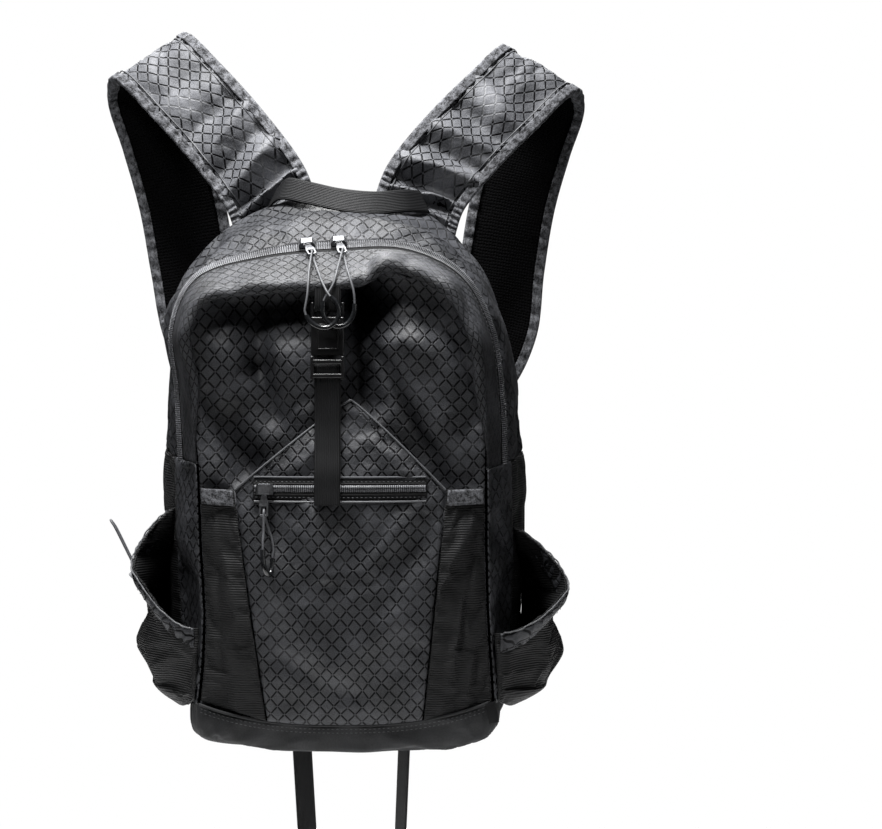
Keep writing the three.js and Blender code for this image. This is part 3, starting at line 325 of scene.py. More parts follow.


# Cloth with fine ribs, as knitted stretch cloth, webbing, zip tape and the zip coil have: black and matt. The
# crests of the ribs are painted lighter in patches as a painted highlight, the grooves between them darker as
# painted shade.
def makeRibbed(name, rib, dark, light, height, roughness, across=False):
    material, tree, shader = newMaterial(name)
    cloth = addNode(tree, "ShaderNodeUVMap", uv_map="cloth")
    sized = addNode(tree, "ShaderNodeMapping", {"Vector": cloth.outputs[0], "Scale": (1000, 1000, 1000)})
    split = addNode(tree, "ShaderNodeSeparateXYZ", {0: sized.outputs[0]})
    lengthwise = split.outputs[0 if across else 1]
    wave = addNode(tree, "ShaderNodeMath", {0: lengthwise, 1: rib / 2}, operation="PINGPONG")
    ridge = addNode(
        tree, "ShaderNodeMapRange", {0: wave.outputs[0], 2: rib / 2}, interpolation_type="SMOOTHSTEP"
    )
    grain = addNode(tree, "ShaderNodeTexNoise", {"Vector": sized.outputs[0], "Scale": 1.1, "Detail": 2.0})
    patches = addNode(tree, "ShaderNodeTexNoise", {"Vector": sized.outputs[0], "Scale": 0.05, "Detail": 2.0})
    mottle = addNode(
        tree, "ShaderNodeMath", {0: grain.outputs[0], 1: patches.outputs[0]}, operation="MULTIPLY"
    )
    blotchy = addNode(tree, "ShaderNodeMath", {0: mottle.outputs[0], 1: 2.4}, operation="MULTIPLY")
    # lit: the painted highlight on the rib crests, broken up in patches; the grooves keep the dark tone as
    # painted shade
    lit = addNode(
        tree,
        "ShaderNodeMath",
        {0: blotchy.outputs[0], 1: ridge.outputs[0]},
        operation="MULTIPLY",
        use_clamp=True,
    )
    colour = addNode(
        tree, "ShaderNodeMix", {"Factor": lit.outputs[0], 6: linear(dark), 7: linear(light)}, data_type="RGBA"
    )
    tree.links.new(colour.outputs[2], shader.inputs["Base Color"])
    raised = addNode(tree, "ShaderNodeMath", {0: ridge.outputs[0], 1: height}, operation="MULTIPLY")
    rough = addNode(
        tree, "ShaderNodeMath", {0: grain.outputs[0], 1: 0.15, 2: raised.outputs[0]}, operation="MULTIPLY_ADD"
    )
    bump = addNode(tree, "ShaderNodeBump", {"Distance": 0.001, "Height": rough.outputs[0]})
    tree.links.new(bump.outputs[0], shader.inputs["Normal"])
    shader.inputs["Roughness"].default_value = roughness
    shader.inputs["Specular IOR Level"].default_value = 0.25  # open yarns swallow much of the light
    return material


# Spacer mesh knitted with open round holes: black and dull; the holes sit low and are painted darker than the
# knit, painted shade in their depth.
def makeAirMesh():
    material, tree, shader = newMaterial("knittedSpacerMesh")
    cloth = addNode(tree, "ShaderNodeUVMap", uv_map="cloth")
    holes = addNode(
        tree, "ShaderNodeTexVoronoi", {"Vector": cloth.outputs[0], "Scale": 420.0, "Randomness": 0.25}
    )
    open_ = addNode(tree, "ShaderNodeMapRange", {0: holes.outputs["Distance"], 1: 0.15, 2: 0.5})
    # The holes take the darker tone: painted shade
    colour = addNode(
        tree,
        "ShaderNodeMix",
        {"Factor": open_.outputs[0], 6: linear("#010101"), 7: linear("#050506")},
        data_type="RGBA",
    )
    tree.links.new(colour.outputs[2], shader.inputs["Base Color"])
    bump = addNode(tree, "ShaderNodeBump", {"Distance": 0.001, "Height": open_.outputs[0]})
    tree.links.new(bump.outputs[0], shader.inputs["Normal"])
    shader.inputs["Roughness"].default_value = 0.9
    shader.inputs["Specular IOR Level"].default_value = 0.06  # its holes swallow most of the light
    return material


# Plain woven cloth with a raised grain and a mottled surface: the boot's is charcoal, the binding's
# is painted paler in small random patches, a painted highlight standing for light on its puckered folds.
def makePlainWeave(name, dark, light, patchMm, spread):
    material, tree, shader = newMaterial(name)
    cloth = addNode(tree, "ShaderNodeUVMap", uv_map="cloth")
    sized = addNode(tree, "ShaderNodeMapping", {"Vector": cloth.outputs[0], "Scale": (1000, 1000, 1000)})
    grain = addNode(
        tree,
        "ShaderNodeTexNoise",
        {"Vector": sized.outputs[0], "Scale": 0.8, "Detail": 3.0, "Roughness": 0.7},
    )
    blotchy = addNode(
        tree, "ShaderNodeTexNoise", {"Vector": sized.outputs[0], "Scale": 1 / patchMm, "Detail": 4.0}
    )
    both = addNode(tree, "ShaderNodeMath", {0: grain.outputs[0], 1: blotchy.outputs[0]})
    tone = addNode(tree, "ShaderNodeMapRange", {0: both.outputs[0], 1: 1 - spread, 2: 1 + spread})
    colour = addNode(
        tree,
        "ShaderNodeMix",
        {"Factor": tone.outputs[0], 6: linear(dark), 7: linear(light)},
        data_type="RGBA",
    )
    tree.links.new(colour.outputs[2], shader.inputs["Base Color"])
    swells = addNode(
        tree, "ShaderNodeMath", {0: blotchy.outputs[0], 1: 2.0, 2: grain.outputs[0]}, operation="MULTIPLY_ADD"
    )
    bump = addNode(tree, "ShaderNodeBump", {"Strength": 0.4, "Distance": 0.001, "Height": swells.outputs[0]})
    tree.links.new(bump.outputs[0], shader.inputs["Normal"])
    shader.inputs["Roughness"].default_value = 0.75
    shader.inputs["Specular IOR Level"].default_value = 0.35
    return material


# A solid finish with a fine grain on Object coordinates: moulded plastic, rubber and plated metal.
def makeSolid(name, dark, light, roughness, metallic=0.0, grainMm=1.5, depth=0.05):
    material, tree, shader = newMaterial(name)
    place = addNode(tree, "ShaderNodeTexCoord")
    grain = addNode(
        tree,
        "ShaderNodeTexNoise",
        {"Vector": place.outputs["Object"], "Scale": 1000 / grainMm, "Detail": 3.0},
    )
    colour = addNode(
        tree,
        "ShaderNodeMix",
        {"Factor": grain.outputs[0], 6: linear(dark), 7: linear(light)},
        data_type="RGBA",
    )
    tree.links.new(colour.outputs[2], shader.inputs["Base Color"])
    rough = addNode(
        tree,
        "ShaderNodeMapRange",
        {0: grain.outputs[0], 1: 0.3, 2: 0.7, 3: roughness * 0.8, 4: roughness * 1.2},
    )
    tree.links.new(rough.outputs[0], shader.inputs["Roughness"])
    bump = addNode(tree, "ShaderNodeBump", {"Distance": depth / 1000, "Height": grain.outputs[0]})
    tree.links.new(bump.outputs[0], shader.inputs["Normal"])
    shader.inputs["Metallic"].default_value = metallic
    return material


coilPitch = 1.5
materials = {
    "ripstop": makeRipstop("coatedRipstopNylon", "#17181a", "#3a3b3f", 0.6, 0.05),
    # strapCloth is a lighter copy of the same nylon for the straps: painted light, with more painted glints on
    # its yarns
    "strapCloth": makeRipstop("coatedRipstopNylonPaintedLit", "#36373a", "#626367", 0.62, 0.35),
    "stretch": makeRibbed("knittedStretchCloth", 1.9, "#030304", "#0e0f10", 0.35, 0.7),
    "webbing": makeRibbed("wovenPolyesterWebbing", 1.4, "#030304", "#141517", 0.3, 0.6, across=True),
    # The binding's pale patches are a painted highlight for light on its puckered folds
    "binding": makePlainWeave("foldedNylonBinding", "#08080a", "#5e5f63", 4, 0.16),
    "piping": makeSolid("coveredPipingCord", "#242527", "#5a5b5e", 0.5, grainMm=2.0, depth=0.15),
    "tape": makeRibbed("wovenZipTape", 1.0, "#070708", "#17181a", 0.2, 0.7, across=True),
    "airMesh": makeAirMesh(),
    "boot": makePlainWeave("wovenBootCloth", "#0a0b0c", "#1e1f21", 25, 0.25),
    # The coil's pale tone is a painted highlight on its rib crests, its dark tone painted shade between them
    "coil": makeRibbed("extrudedNylonCoil", coilPitch, "#030304", "#85868a", 0.1, 0.4, across=True),
    "plastic": makeSolid("mouldedAcetal", "#0a0a0b", "#121213", 0.35, grainMm=0.6),
    "nickel": makeSolid("platedZincNickel", "#5a5b5e", "#8a8b8e", 0.42, metallic=1.0),
    "cord": makeSolid("braidedPolyesterCord", "#2e2f32", "#5a5b5e", 0.55, grainMm=0.9, depth=0.06),
    "grip": makeSolid("extrudedSoftPvc", "#0e0f10", "#1d1e20", 0.22, grainMm=2.0),
    "lock": makeSolid("mouldedGreyAcetal", "#77787b", "#9a9b9e", 0.4, grainMm=0.8),
    "thread": makeSolid("bondedNylonThread", "#242527", "#4a4b4e", 0.55, grainMm=0.4),
}
print("materials:", len(materials))


# Pieces: a grid of cloth moved onto a surface, a band along a path, a tube and a moulded solid
def planar(u, v, points):
    return points[:, [0, 2]]


def newPiece(name, data, material, nodes):
    piece = bpy.data.objects.new(name, data)
    scene.collection.objects.link(piece)
    data.materials.append(materials[material])
    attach(piece, "root")
    if nodes:
        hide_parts(*nodes)
    return piece


# The cloth's own lie is kept in millimetres on the UV map, so that weaves and yarns have their real size.
def gridPiece(name, surface, columns, rows, material, nodes=(), flat=planar, thick=1.0):
    bm = bmesh.new()
    clothMap = bm.loops.layers.uv.new("cloth")
    bmesh.ops.create_grid(bm, x_segments=columns, y_segments=rows, size=1)
    uv = (np.array([vert.co[:2] for vert in bm.verts]) + 1) / 2
    points = surface(uv[:, 0], uv[:, 1])
    lie = flat(uv[:, 0], uv[:, 1], points) / 1000
    for vert, place in zip(bm.verts, toFrame(points)):
        vert.co = place
    bm.verts.index_update()
    for face in bm.faces:
        face.smooth = True
        for loop in face.loops:
            loop[clothMap].uv = lie[loop.vert.index]
    seamVerts = [vert.index for vert in bm.verts if vert.is_boundary]
    mesh = bpy.data.meshes.new(name)
    bm.to_mesh(mesh)
    bm.free()
    piece = newPiece(name, mesh, material, nodes)
    piece.vertex_groups.new(name="seams").add(seamVerts, 1, "REPLACE")
    if thick:
        wall = piece.modifiers.new("wall", "SOLIDIFY")
        wall.thickness = thick / 1000
        wall.offset = -1
    return piece


def tubePiece(name, points, diameter, material, nodes=()):
    curve = bpy.data.curves.new(name, "CURVE")
    curve.dimensions = "3D"
    curve.bevel_depth = diameter / 2000
    curve.bevel_resolution = 4
    curve.use_fill_caps = True
    spline = curve.splines.new("POLY")
    spline.points.add(len(points) - 1)
    for point, place in zip(spline.points, toFrame(points)):
        point.co = (*place, 1)
    return newPiece(name, curve, material, nodes)


def lengthOf(points):
    return float(np.linalg.norm(np.diff(np.asarray(points, float), axis=0), axis=1).sum())


# Moulded pieces: boxes with softened edges, and round bars that lie across the pack.
def addBox(bm, size, middle, bevel):
    made = bmesh.ops.create_cube(bm, size=1)["verts"]
    bmesh.ops.scale(bm, verts=made, vec=size)
    edges = list({edge for vert in made for edge in vert.link_edges})
    bevelled = bmesh.ops.bevel(
        bm, geom=edges, offset=bevel, segments=3, profile=0.5, affect="EDGES", material=-1
    )
    verts = list({vert for face in bevelled["faces"] for vert in face.verts})
    bmesh.ops.translate(bm, verts=verts, vec=middle)


def addBar(bm, length, diameter, middle):
    made = bmesh.ops.create_cone(
        bm, cap_ends=True, segments=20, radius1=diameter / 2, radius2=diameter / 2, depth=length
    )["verts"]
    bmesh.ops.rotate(bm, verts=made, matrix=Matrix.Rotation(math.pi / 2, 3, "Y"))
    bmesh.ops.translate(bm, verts=made, vec=middle)


def solidPiece(name, build, material, nodes=()):
    bm = bmesh.new()
    build(bm)
    for vert in bm.verts:
        vert.co = toFrame(vert.co)
    for face in bm.faces:
        face.smooth = True
    bmesh.ops.recalc_face_normals(bm, faces=bm.faces)
    mesh = bpy.data.meshes.new(name)
    bm.to_mesh(mesh)
    bm.free()
    piece = newPiece(name, mesh, material, nodes)
    crisp = piece.modifiers.new("crispEdges", "WEIGHTED_NORMAL")
    crisp.keep_sharp = True
    return piece


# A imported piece's own mesh, joined up again, with its edges softened.
def softenedNode(name, node, bevel, material):
    bm = bmesh.new()
    bm.from_mesh(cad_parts[node].data)
    bm.transform(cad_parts[node].matrix_world)
    bmesh.ops.remove_doubles(bm, verts=bm.verts, dist=1e-5)
    bmesh.ops.dissolve_limit(bm, angle_limit=0.02, verts=bm.verts, edges=bm.edges)
    sharp = [edge for edge in bm.edges if edge.is_manifold and edge.calc_face_angle() > 0.4]
    bmesh.ops.bevel(
        bm,
        geom=sharp,
        offset=bevel / 1000,
        segments=2,
        profile=0.5,
        affect="EDGES",
        material=-1,
        clamp_overlap=True,
    )
    bmesh.ops.recalc_face_normals(bm, faces=bm.faces)
    for face in bm.faces:
        face.smooth = True
    mesh = bpy.data.meshes.new(name)
    bm.to_mesh(mesh)
    bm.free()
    piece = newPiece(name, mesh, material, (node,))
    crisp = piece.modifiers.new("crispEdges", "WEIGHTED_NORMAL")
    crisp.keep_sharp = True
    return piece


# Stitches along a line of points, with the directions out of the cloth there.
def stitchPiece(name, points, outs, pitch=3.4, length=2.3, thread=0.55):
    points = np.asarray(points, float)
    run = np.concatenate([[0], np.cumsum(np.linalg.norm(np.diff(points, axis=0), axis=1))])
    spots = np.arange(pitch / 2, run[-1], pitch)
    places = np.stack([np.interp(spots, run, points[:, k]) for k in range(3)], axis=1)
    ends = np.stack([np.interp(spots + 0.5, run, points[:, k]) for k in range(3)], axis=1)
    ups = np.stack([np.interp(spots, run, np.asarray(outs, float)[:, k]) for k in range(3)], axis=1)
    bm = bmesh.new()
    for place, end, up in zip(places, ends, ups):
        along = Vector(end - place).normalized()
        side = Vector(up).cross(along).normalized()
        basis = Matrix((along * length / 2, side * thread / 2, along.cross(side) * thread / 2)).transposed()
        made = bmesh.ops.create_icosphere(bm, subdivisions=1, radius=1.0)["verts"]
        bmesh.ops.transform(bm, matrix=basis, verts=made)
        bmesh.ops.translate(bm, verts=made, vec=place)
    for vert in bm.verts:
        vert.co = toFrame(vert.co)
    for face in bm.faces:
        face.smooth = True
    mesh = bpy.data.meshes.new(name)
    bm.to_mesh(mesh)
    bm.free()
    newPiece(name, mesh, "thread", ())


# A line of points over a surface at a share across it, and the directions out of it, for stitches and piping.
def surfaceLine(surface, us, vs, lift=0.0):
    step = 0.004
    points = surface(us, vs)
    across = surface(np.minimum(us + step, 1), vs) - surface(np.maximum(us - step, 0), vs)
    up = surface(us, np.minimum(vs + step, 1)) - surface(us, np.maximum(vs - step, 0))
    outs = unit(np.cross(across, up))
    return points + outs * lift, outs


# Ridges and hollows laid over a surface: each runs from one place to another and is half as wide as told.
def ridges(rows, x, z, unitX=1.0, unitZ=1.0):
    total = np.zeros(np.shape(x))
    for r in rows:
        fromX, fromZ = r["from"][0] * unitX, r["from"][1] * unitZ
        runX, runZ = r["to"][0] * unitX - fromX, r["to"][1] * unitZ - fromZ
        share = np.clip(((x - fromX) * runX + (z - fromZ) * runZ) / (runX**2 + runZ**2), 0, 1)
        away = np.hypot(x - fromX - share * runX, z - fromZ - share * runZ) / r["wide"]
        fade = 1 - r.get("fade", 0) * share
        total += r["out"] * fade * np.exp(-(away ** r.get("round", 2)))
    return total


# Simulation: sewn cloth is cut a little larger than its frame of seams, so it buckles into folds between
# them. Each piece is held along its seams, grows, and keeps the shape that it comes to rest in.
simulated = []


def pinWhere(piece, held):
    places = np.array([vert.co[:] for vert in piece.data.vertices]) * 1000 + (0, crest["y"], crest["z"])
    piece.vertex_groups["seams"].add([int(i) for i in np.flatnonzero(held(places))], 1, "REPLACE")


# growth is a share of the cloth; mostMm and outMm cap how far it may move, and how far it may stand out.
def letBuckle(piece, growth, bending=0.4, mostMm=9.0, outMm=None):
    outward = (mostMm if outMm is None else outMm) / 1000
    simulated.append({"piece": piece, "most": mostMm / 1000, "outward": outward})
    cloth = piece.modifiers.new("buckling", "CLOTH")
    while piece.modifiers[0] != cloth:
        index = len(piece.modifiers) - 1
        piece.modifiers.move(index, 0)
    settings = cloth.settings
    settings.quality = 6
    settings.mass = 0.12
    settings.tension_stiffness = 20
    settings.compression_stiffness = 20
    settings.shear_stiffness = 8
    settings.bending_stiffness = bending
    settings.air_damping = 3
    settings.vertex_group_mass = "seams"
    settings.pin_stiffness = 1
    settings.shrink_min = -growth
    settings.effector_weights.gravity = 0
    cloth.collision_settings.use_collision = False
    cloth.point_cache.frame_start = 1
    cloth.point_cache.frame_end = buckleFrames


buckleFrames = 24


def runBuckling():
    if not simulated:
        return
    scene.frame_start, scene.frame_end = 1, buckleFrames
    for row in simulated:
        for modifier in row["piece"].modifiers:
            modifier.show_viewport = modifier.type == "CLOTH"
    for number in range(1, buckleFrames + 1):
        scene.frame_set(number)
    graph = bpy.context.evaluated_depsgraph_get()
    for row in simulated:
        piece = row["piece"]
        shown = piece.evaluated_get(graph)
        before = np.array([vert.co[:] for vert in piece.data.vertices])
        after = np.array([vert.co[:] for vert in shown.data.vertices])
        moved = after - before
        size = np.linalg.norm(moved, axis=1, keepdims=True)
        moved *= row["most"] * np.tanh(size / row["most"]) / np.maximum(size, 1e-9)
        normals = np.array([vert.normal[:] for vert in piece.data.vertices])
        proud = np.maximum((moved * normals).sum(axis=1, keepdims=True) - row["outward"], 0)
        moved -= normals * proud
        row["after"] = before + moved
    scene.frame_set(1)
    for row in simulated:
        piece = row["piece"]
        piece.modifiers.remove(piece.modifiers["buckling"])
        piece.data.vertices.foreach_set("co", row["after"].astype(np.float32).ravel())
        piece.data.update()
        for modifier in piece.modifiers:
            modifier.show_viewport = True


# Body: two seam outlines run from the left foot corner over the top to the right foot corner.
# x is a share of the half width of that face, z a share of the pack's height.
pack = {"height": 441, "frontHalf": 116, "backHalf": 147, "frontY": -62, "backY": 68, "lipReach": 10}
seamRows = [
    {"frontX": -1.02, "frontZ": 0.032, "backX": -0.871, "backZ": 0.045},
    {"frontX": -0.955, "frontZ": 0.127, "backX": -0.946, "backZ": 0.141},
    {"frontX": -0.928, "frontZ": 0.249, "backX": -0.993, "backZ": 0.254},
    {"frontX": -0.95, "frontZ": 0.385, "backX": -1.014, "backZ": 0.385},
    {"frontX": -0.966, "frontZ": 0.51, "backX": -1.014, "backZ": 0.517},
    {"frontX": -1.015, "frontZ": 0.646, "backX": -0.99, "backZ": 0.658},
    {"frontX": -1.072, "frontZ": 0.757, "backX": -0.952, "backZ": 0.782},
    {"frontX": -0.935, "frontZ": 0.825, "backX": -0.825, "backZ": 0.888},
    {"frontX": -0.5, "frontZ": 0.844, "backX": -0.48, "backZ": 0.973},
    {"frontX": 0.0, "frontZ": 0.853, "backX": 0.0, "backZ": 1.0},
    {"frontX": 0.397, "frontZ": 0.862, "backX": 0.415, "backZ": 0.972},
    {"frontX": 0.741, "frontZ": 0.832, "backX": 0.69, "backZ": 0.889},
    {"frontX": 0.931, "frontZ": 0.752, "backX": 0.835, "backZ": 0.778},
    {"frontX": 0.98, "frontZ": 0.63, "backX": 0.935, "backZ": 0.653},
    {"frontX": 0.98, "frontZ": 0.5, "backX": 0.985, "backZ": 0.512},
    {"frontX": 0.982, "frontZ": 0.37, "backX": 0.993, "backZ": 0.381},
    {"frontX": 0.993, "frontZ": 0.26, "backX": 0.98, "backZ": 0.254},
    {"frontX": 1.02, "frontZ": 0.14, "backX": 0.939, "backZ": 0.141},
    {"frontX": 1.045, "frontZ": 0.03, "backX": 0.884, "backZ": 0.036},
]
lastRow = len(seamRows) - 1


def lipShare(row):
    return ease(row - 5) * ease(13 - row)


frontSeam = [
    (
        r["frontX"] * pack["frontHalf"],
        pack["frontY"] - pack["lipReach"] * lipShare(i),
        r["frontZ"] * pack["height"],
    )
    for i, r in enumerate(seamRows)
]
backSeam = [(r["backX"] * pack["backHalf"], pack["backY"], r["backZ"] * pack["height"]) for r in seamRows]


def frontAt(row):
    return through(frontSeam, np.asarray(row, float) / lastRow)


def backAt(row):
    return through(backSeam, np.asarray(row, float) / lastRow)


def middleAt(row):
    return frontAt(row) + backAt(row)


# The direction out of the pack in the plane of a seam.
def outwardAt(seam, row):
    row = np.asarray(row, float)
    along = seam(np.minimum(row + 0.05, lastRow)) - seam(np.maximum(row - 0.05, 0))
    return unit(columnsOf(-along[..., 2], 0 * along[..., 0], along[..., 0]))


def insetAt(seam, row, by):
    return seam(row) - outwardAt(seam, row) * by


# A point of the band round the sides and the top: depth 0 lies at the front seam and 1 at the back one.
def gussetAt(row, depth, lift=0.0):
    row, depth, lift = np.broadcast_arrays(*(np.asarray(a, float) for a in (row, depth, lift)))
    onBand = mix(frontAt(row), backAt(row), depth[..., None])
    return onBand + outwardAt(middleAt, row) * (5 * hump(depth) + lift)[..., None]


def rowAtHeight(seam, z, rightSide=False):
    rows = np.linspace(0, lastRow / 2, 400)
    heights = seam(lastRow - rows if rightSide else rows)[:, 2]
    found = np.interp(z, heights, rows)
    return lastRow - found if rightSide else found


def baseRimAt(x):
    return mix(26, 44, np.minimum(1, np.abs(x) / pack["frontHalf"]) ** 2.5)


def frontBulgeAt(x, z):
    across = np.cos(np.pi / 2 * np.minimum(1, np.abs(x) / (1.1 * pack["frontHalf"])))
    return 9 * np.sqrt(np.maximum(hump(z / (0.84 * pack["height"])), 0)) * across


# Large folds of the front first, then its smaller creases. Places are shares of the half width and height.
frontFolds = [
    {"from": (-1.1, 0.79), "to": (0.1, 0.79), "wide": 24, "out": -27},
    {"from": (0.1, 0.8), "to": (0.95, 0.77), "wide": 18, "out": -16},
    {"from": (0.12, 0.81), "to": (0.16, 0.63), "wide": 12, "out": -21},
    {"from": (0.18, 0.75), "to": (0.58, 0.55), "wide": 5, "out": -5, "round": 1.4},
    {"from": (0.26, 0.72), "to": (0.5, 0.58), "wide": 3, "out": -2.5, "round": 1.4},
    {"from": (-0.52, 0.78), "to": (-0.56, 0.69), "wide": 9, "out": -8},
    {"from": (-0.56, 0.69), "to": (-0.45, 0.61), "wide": 8, "out": -9},
    {"from": (-0.79, 0.74), "to": (-0.76, 0.65), "wide": 14, "out": 6},
    {"from": (-0.92, 0.64), "to": (-0.62, 0.52), "wide": 12, "out": -17},
    {"from": (-1.0, 0.66), "to": (-0.84, 0.5), "wide": 7, "out": 6},
    {"from": (-0.34, 0.72), "to": (-0.24, 0.62), "wide": 14, "out": 4},
    {"from": (0.5, 0.73), "to": (0.62, 0.62), "wide": 24, "out": 9},
    {"from": (0.8, 0.77), "to": (0.93, 0.6), "wide": 8, "out": -13},
    {"from": (0.92, 0.6), "to": (0.94, 0.46), "wide": 6, "out": -6},
    {"from": (0.42, 0.72), "to": (0.5, 0.68), "wide": 5, "out": -4, "round": 1.4},
    {"from": (0.72, 0.6), "to": (0.8, 0.48), "wide": 9, "out": 4},
]
frontFoot = rowAtHeight(frontAt, 44)
frontTop = 8.6


# Right of the middle the seam is pulled up in a pinched fold.
def pinchAt(x):
    return 9 * np.exp(-(((x - 38) / np.where(x < 38, 13, 34)) ** 2))


def frontPanelAt(u, v):
    row = mix(frontFoot, frontTop, v)
    p = mix(insetAt(frontAt, row, 2), insetAt(frontAt, lastRow - row, 2), u[:, None])
    drop = (44 - baseRimAt(p[:, 0])) * (1 - v) ** 3
    edge = ease(np.minimum(u, 1 - u) * 7) * ease(np.minimum(v * 6, (1 - v) * 9))
    x, z = p[:, 0], p[:, 2]
    out = frontBulgeAt(x, z) + ridges(frontFolds, x, z, pack["frontHalf"], pack["height"])
    rise = pinchAt(x) * ease(v * 12 - 11)
    return columnsOf(x, p[:, 1] - edge * (out + 1.6 * swell(p, 38, 1)), z - drop + rise)


frontPanel = gridPiece("frontPanel", frontPanelAt, 66, 98, "ripstop", ["front_panel"])
letBuckle(frontPanel, 0.035, bending=0.5, mostMm=7, outMm=2)


def backPanelAt(u, v):
    u = 1 - u
    row = mix(rowAtHeight(backAt, 36), 8.7, v)
    p = mix(insetAt(backAt, row, 1.75), insetAt(backAt, lastRow - row, 1.75), u[:, None])
    channels = 3.2 * np.abs(np.sin(3 * np.pi * u)) ** 0.5 * ease(np.minimum(v, 1 - v) * 9)
    out = channels * ease(np.minimum(u, 1 - u) * 12) - 3 * hump(u) * hump(v)
    return columnsOf(p[:, 0], p[:, 1] + out, p[:, 2])


gridPiece("backPanel", backPanelAt, 72, 80, "airMesh", ["back_panel"], thick=2.5)


# Bands round the body: the lip in front of the zip, the zip, and the top panel behind it.
zipShare = 16 / 140
zipFront = 0.31 - zipShare / 2
zipBack = 0.31 + zipShare / 2
zipRows = (4.1, 13.9)


bandDepth = 78  # the cut of the cloth as it shows from the front, where the band falls away from the eye


def bandLie(u, v, points):
    rows = mix(zipRows[0], zipRows[1], u)
    samples = np.linspace(zipRows[0], zipRows[1], 400)
    line = middleAt(samples) / 2
    run = np.concatenate([[0], np.cumsum(np.linalg.norm(np.diff(line, axis=0), axis=1))])
    return columnsOf(np.interp(rows, samples, run), v * bandDepth)


lipRoll = 5.5
lipFolds = [
    # along the lip by x, with how far the cloth stands out there
    {"at": 20, "wide": 5, "out": -3.5},
    {"at": 33, "wide": 8, "out": 3},
    {"at": 52, "wide": 6, "out": -2.5},
    {"at": -62, "wide": 10, "out": 2},
    {"at": -84, "wide": 7, "out": -2.5},
    {"at": 84, "wide": 9, "out": 2.5},
    {"at": 98, "wide": 5, "out": -2},
]


# The lip comes forward from the zip and rolls under, so that it hangs over the front like an eave.
def lipAt(u, v):
    row = mix(zipRows[0], zipRows[1], u)
    flatPart = 0.55
    depth = mix(0.0, zipFront, np.clip((v - (1 - flatPart)) / flatPart, 0, 1))
    onBand = gussetAt(row, depth)
    out = outwardAt(frontAt, row)
    angle = np.clip(1 - v / (1 - flatPart), 0, 1) * math.radians(150)
    reach = (lipRoll * ease((row - 4.1) * 0.8) * ease((13.9 - row) * 0.8))[:, None]
    forward = np.array([0, -1.0, 0])
    roll = reach * (out * (np.cos(angle) - 1)[:, None] + forward * np.sin(angle)[:, None])
    p = onBand + roll
    p = p + np.array([0, 0, 1.0]) * (pinchAt(p[:, 0]) * (1 - depth / zipFront))[:, None]
    folds = sum(f["out"] * np.exp(-(((p[:, 0] - f["at"]) / f["wide"]) ** 2)) for f in lipFolds)
    belly = (folds + 2.2 * swell(p, 24, 4)) * hump(np.clip(v * 1.1, 0, 1)) * reach[:, 0] / lipRoll
    return p + (out * 0.6 + forward * 0.8) * belly[:, None]


lip = gridPiece("lip", lipAt, 240, 18, "ripstop", ["front_gusset"], flat=bandLie)
letBuckle(lip, 0.03, bending=0.4, mostMm=4)


def topPanelAt(u, v):
    row = mix(zipRows[0], zipRows[1], u)
    depth = mix(zipBack, 1.0, v)
    p = gussetAt(row, depth)
    out = outwardAt(middleAt, row)
    folds = 1.5 * np.sin(v * 9 + 2.5 * swell(p, 60, 7)) + 2.4 * swell(p * (1, 2.2, 1), 46, 5)
    return p + out * (folds * hump(v) ** 0.6 * hump(u) ** 0.3)[:, None]


topPanel = gridPiece("topPanel", topPanelAt, 190, 30, "ripstop", ["rear_gusset"], flat=bandLie)
letBuckle(topPanel, 0.035, bending=0.5, mostMm=6)


def zipTapeAt(u, v):
    return gussetAt(mix(*zipRows, u), mix(zipFront - 0.004, zipBack + 0.004, v), -0.4)


# Two rows of coil meet along the middle of the tape and show as one ribbed band.
def ribbedBand(base, outs, across, length, width, height, u, v):
    side = 2 * v - 1
    phase = u * length / coilPitch + np.abs(side) * 0.35
    rib = 0.5 + 0.5 * np.cos(2 * np.pi * phase)
    groove = 0.3 * height * np.exp(-((side / 0.1) ** 2))
    rise = height * (1 - np.abs(side) ** 2.4) * (0.5 + 0.5 * rib) - groove
    return base + across * (side * width / 2)[:, None] + outs * rise[:, None]


def mainCoilAt(u, v):
    row = mix(*zipRows, u)
    base = gussetAt(row, 0.31, 0.3)
    outs = outwardAt(middleAt, row)
    across = unit(gussetAt(row, 0.33) - gussetAt(row, 0.29))
    return ribbedBand(base, outs, across, mainZipLength, 9.5, 3.0, u, v)


mainZipLength = lengthOf(gussetAt(np.linspace(*zipRows, 300), 0.31))
gridPiece("mainZipTape", zipTapeAt, 240, 4, "tape", ["main_zip"], flat=bandLie, thick=0.8)


# The lie of a coil starts half a rib in, so that its dark lines, painted shade, fall in the grooves between
# the ribs and its pale tone, a painted highlight, on their crests.
def coilLie(length):
    def lie(u, v, points):
        return columnsOf(u * length + coilPitch / 2, v * 6)

    return lie


gridPiece("mainZipCoil", mainCoilAt, 2400, 8, "coil", flat=coilLie(mainZipLength), thick=0)
line = np.linspace(0.03, 0.97, 500)
for name, share in (("zipSeamBack", zipBack + 0.03), ("zipSeamFront", zipFront - 0.03)):
    rows = mix(*zipRows, line)
    stitchPiece(name, gussetAt(rows, share, 1.0), outwardAt(middleAt, rows))
print("body panels and main zip")


# Sides below the ends of the zip: a strip of ripstop in front, plain stretch cloth behind the side seam.
def sidePanelAt(rightSide, fromShare, toShare):
    top = zipRows[1] if rightSide else zipRows[0]

    def surface(u, v):
        u = 1 - u if rightSide else u
        share = mix(fromShare, toShare, u)
        foot = rowAtHeight(frontAt, mix(44, 36, share), rightSide)
        p = gussetAt(mix(foot, top, v), share)
        folds = 2.4 * swell(p * (1, 1.6, 0.8), 34, 9) * hump(u) * hump(v) ** 0.4
        return p + outwardAt(middleAt, mix(foot, top, v)) * folds[:, None]

    return surface


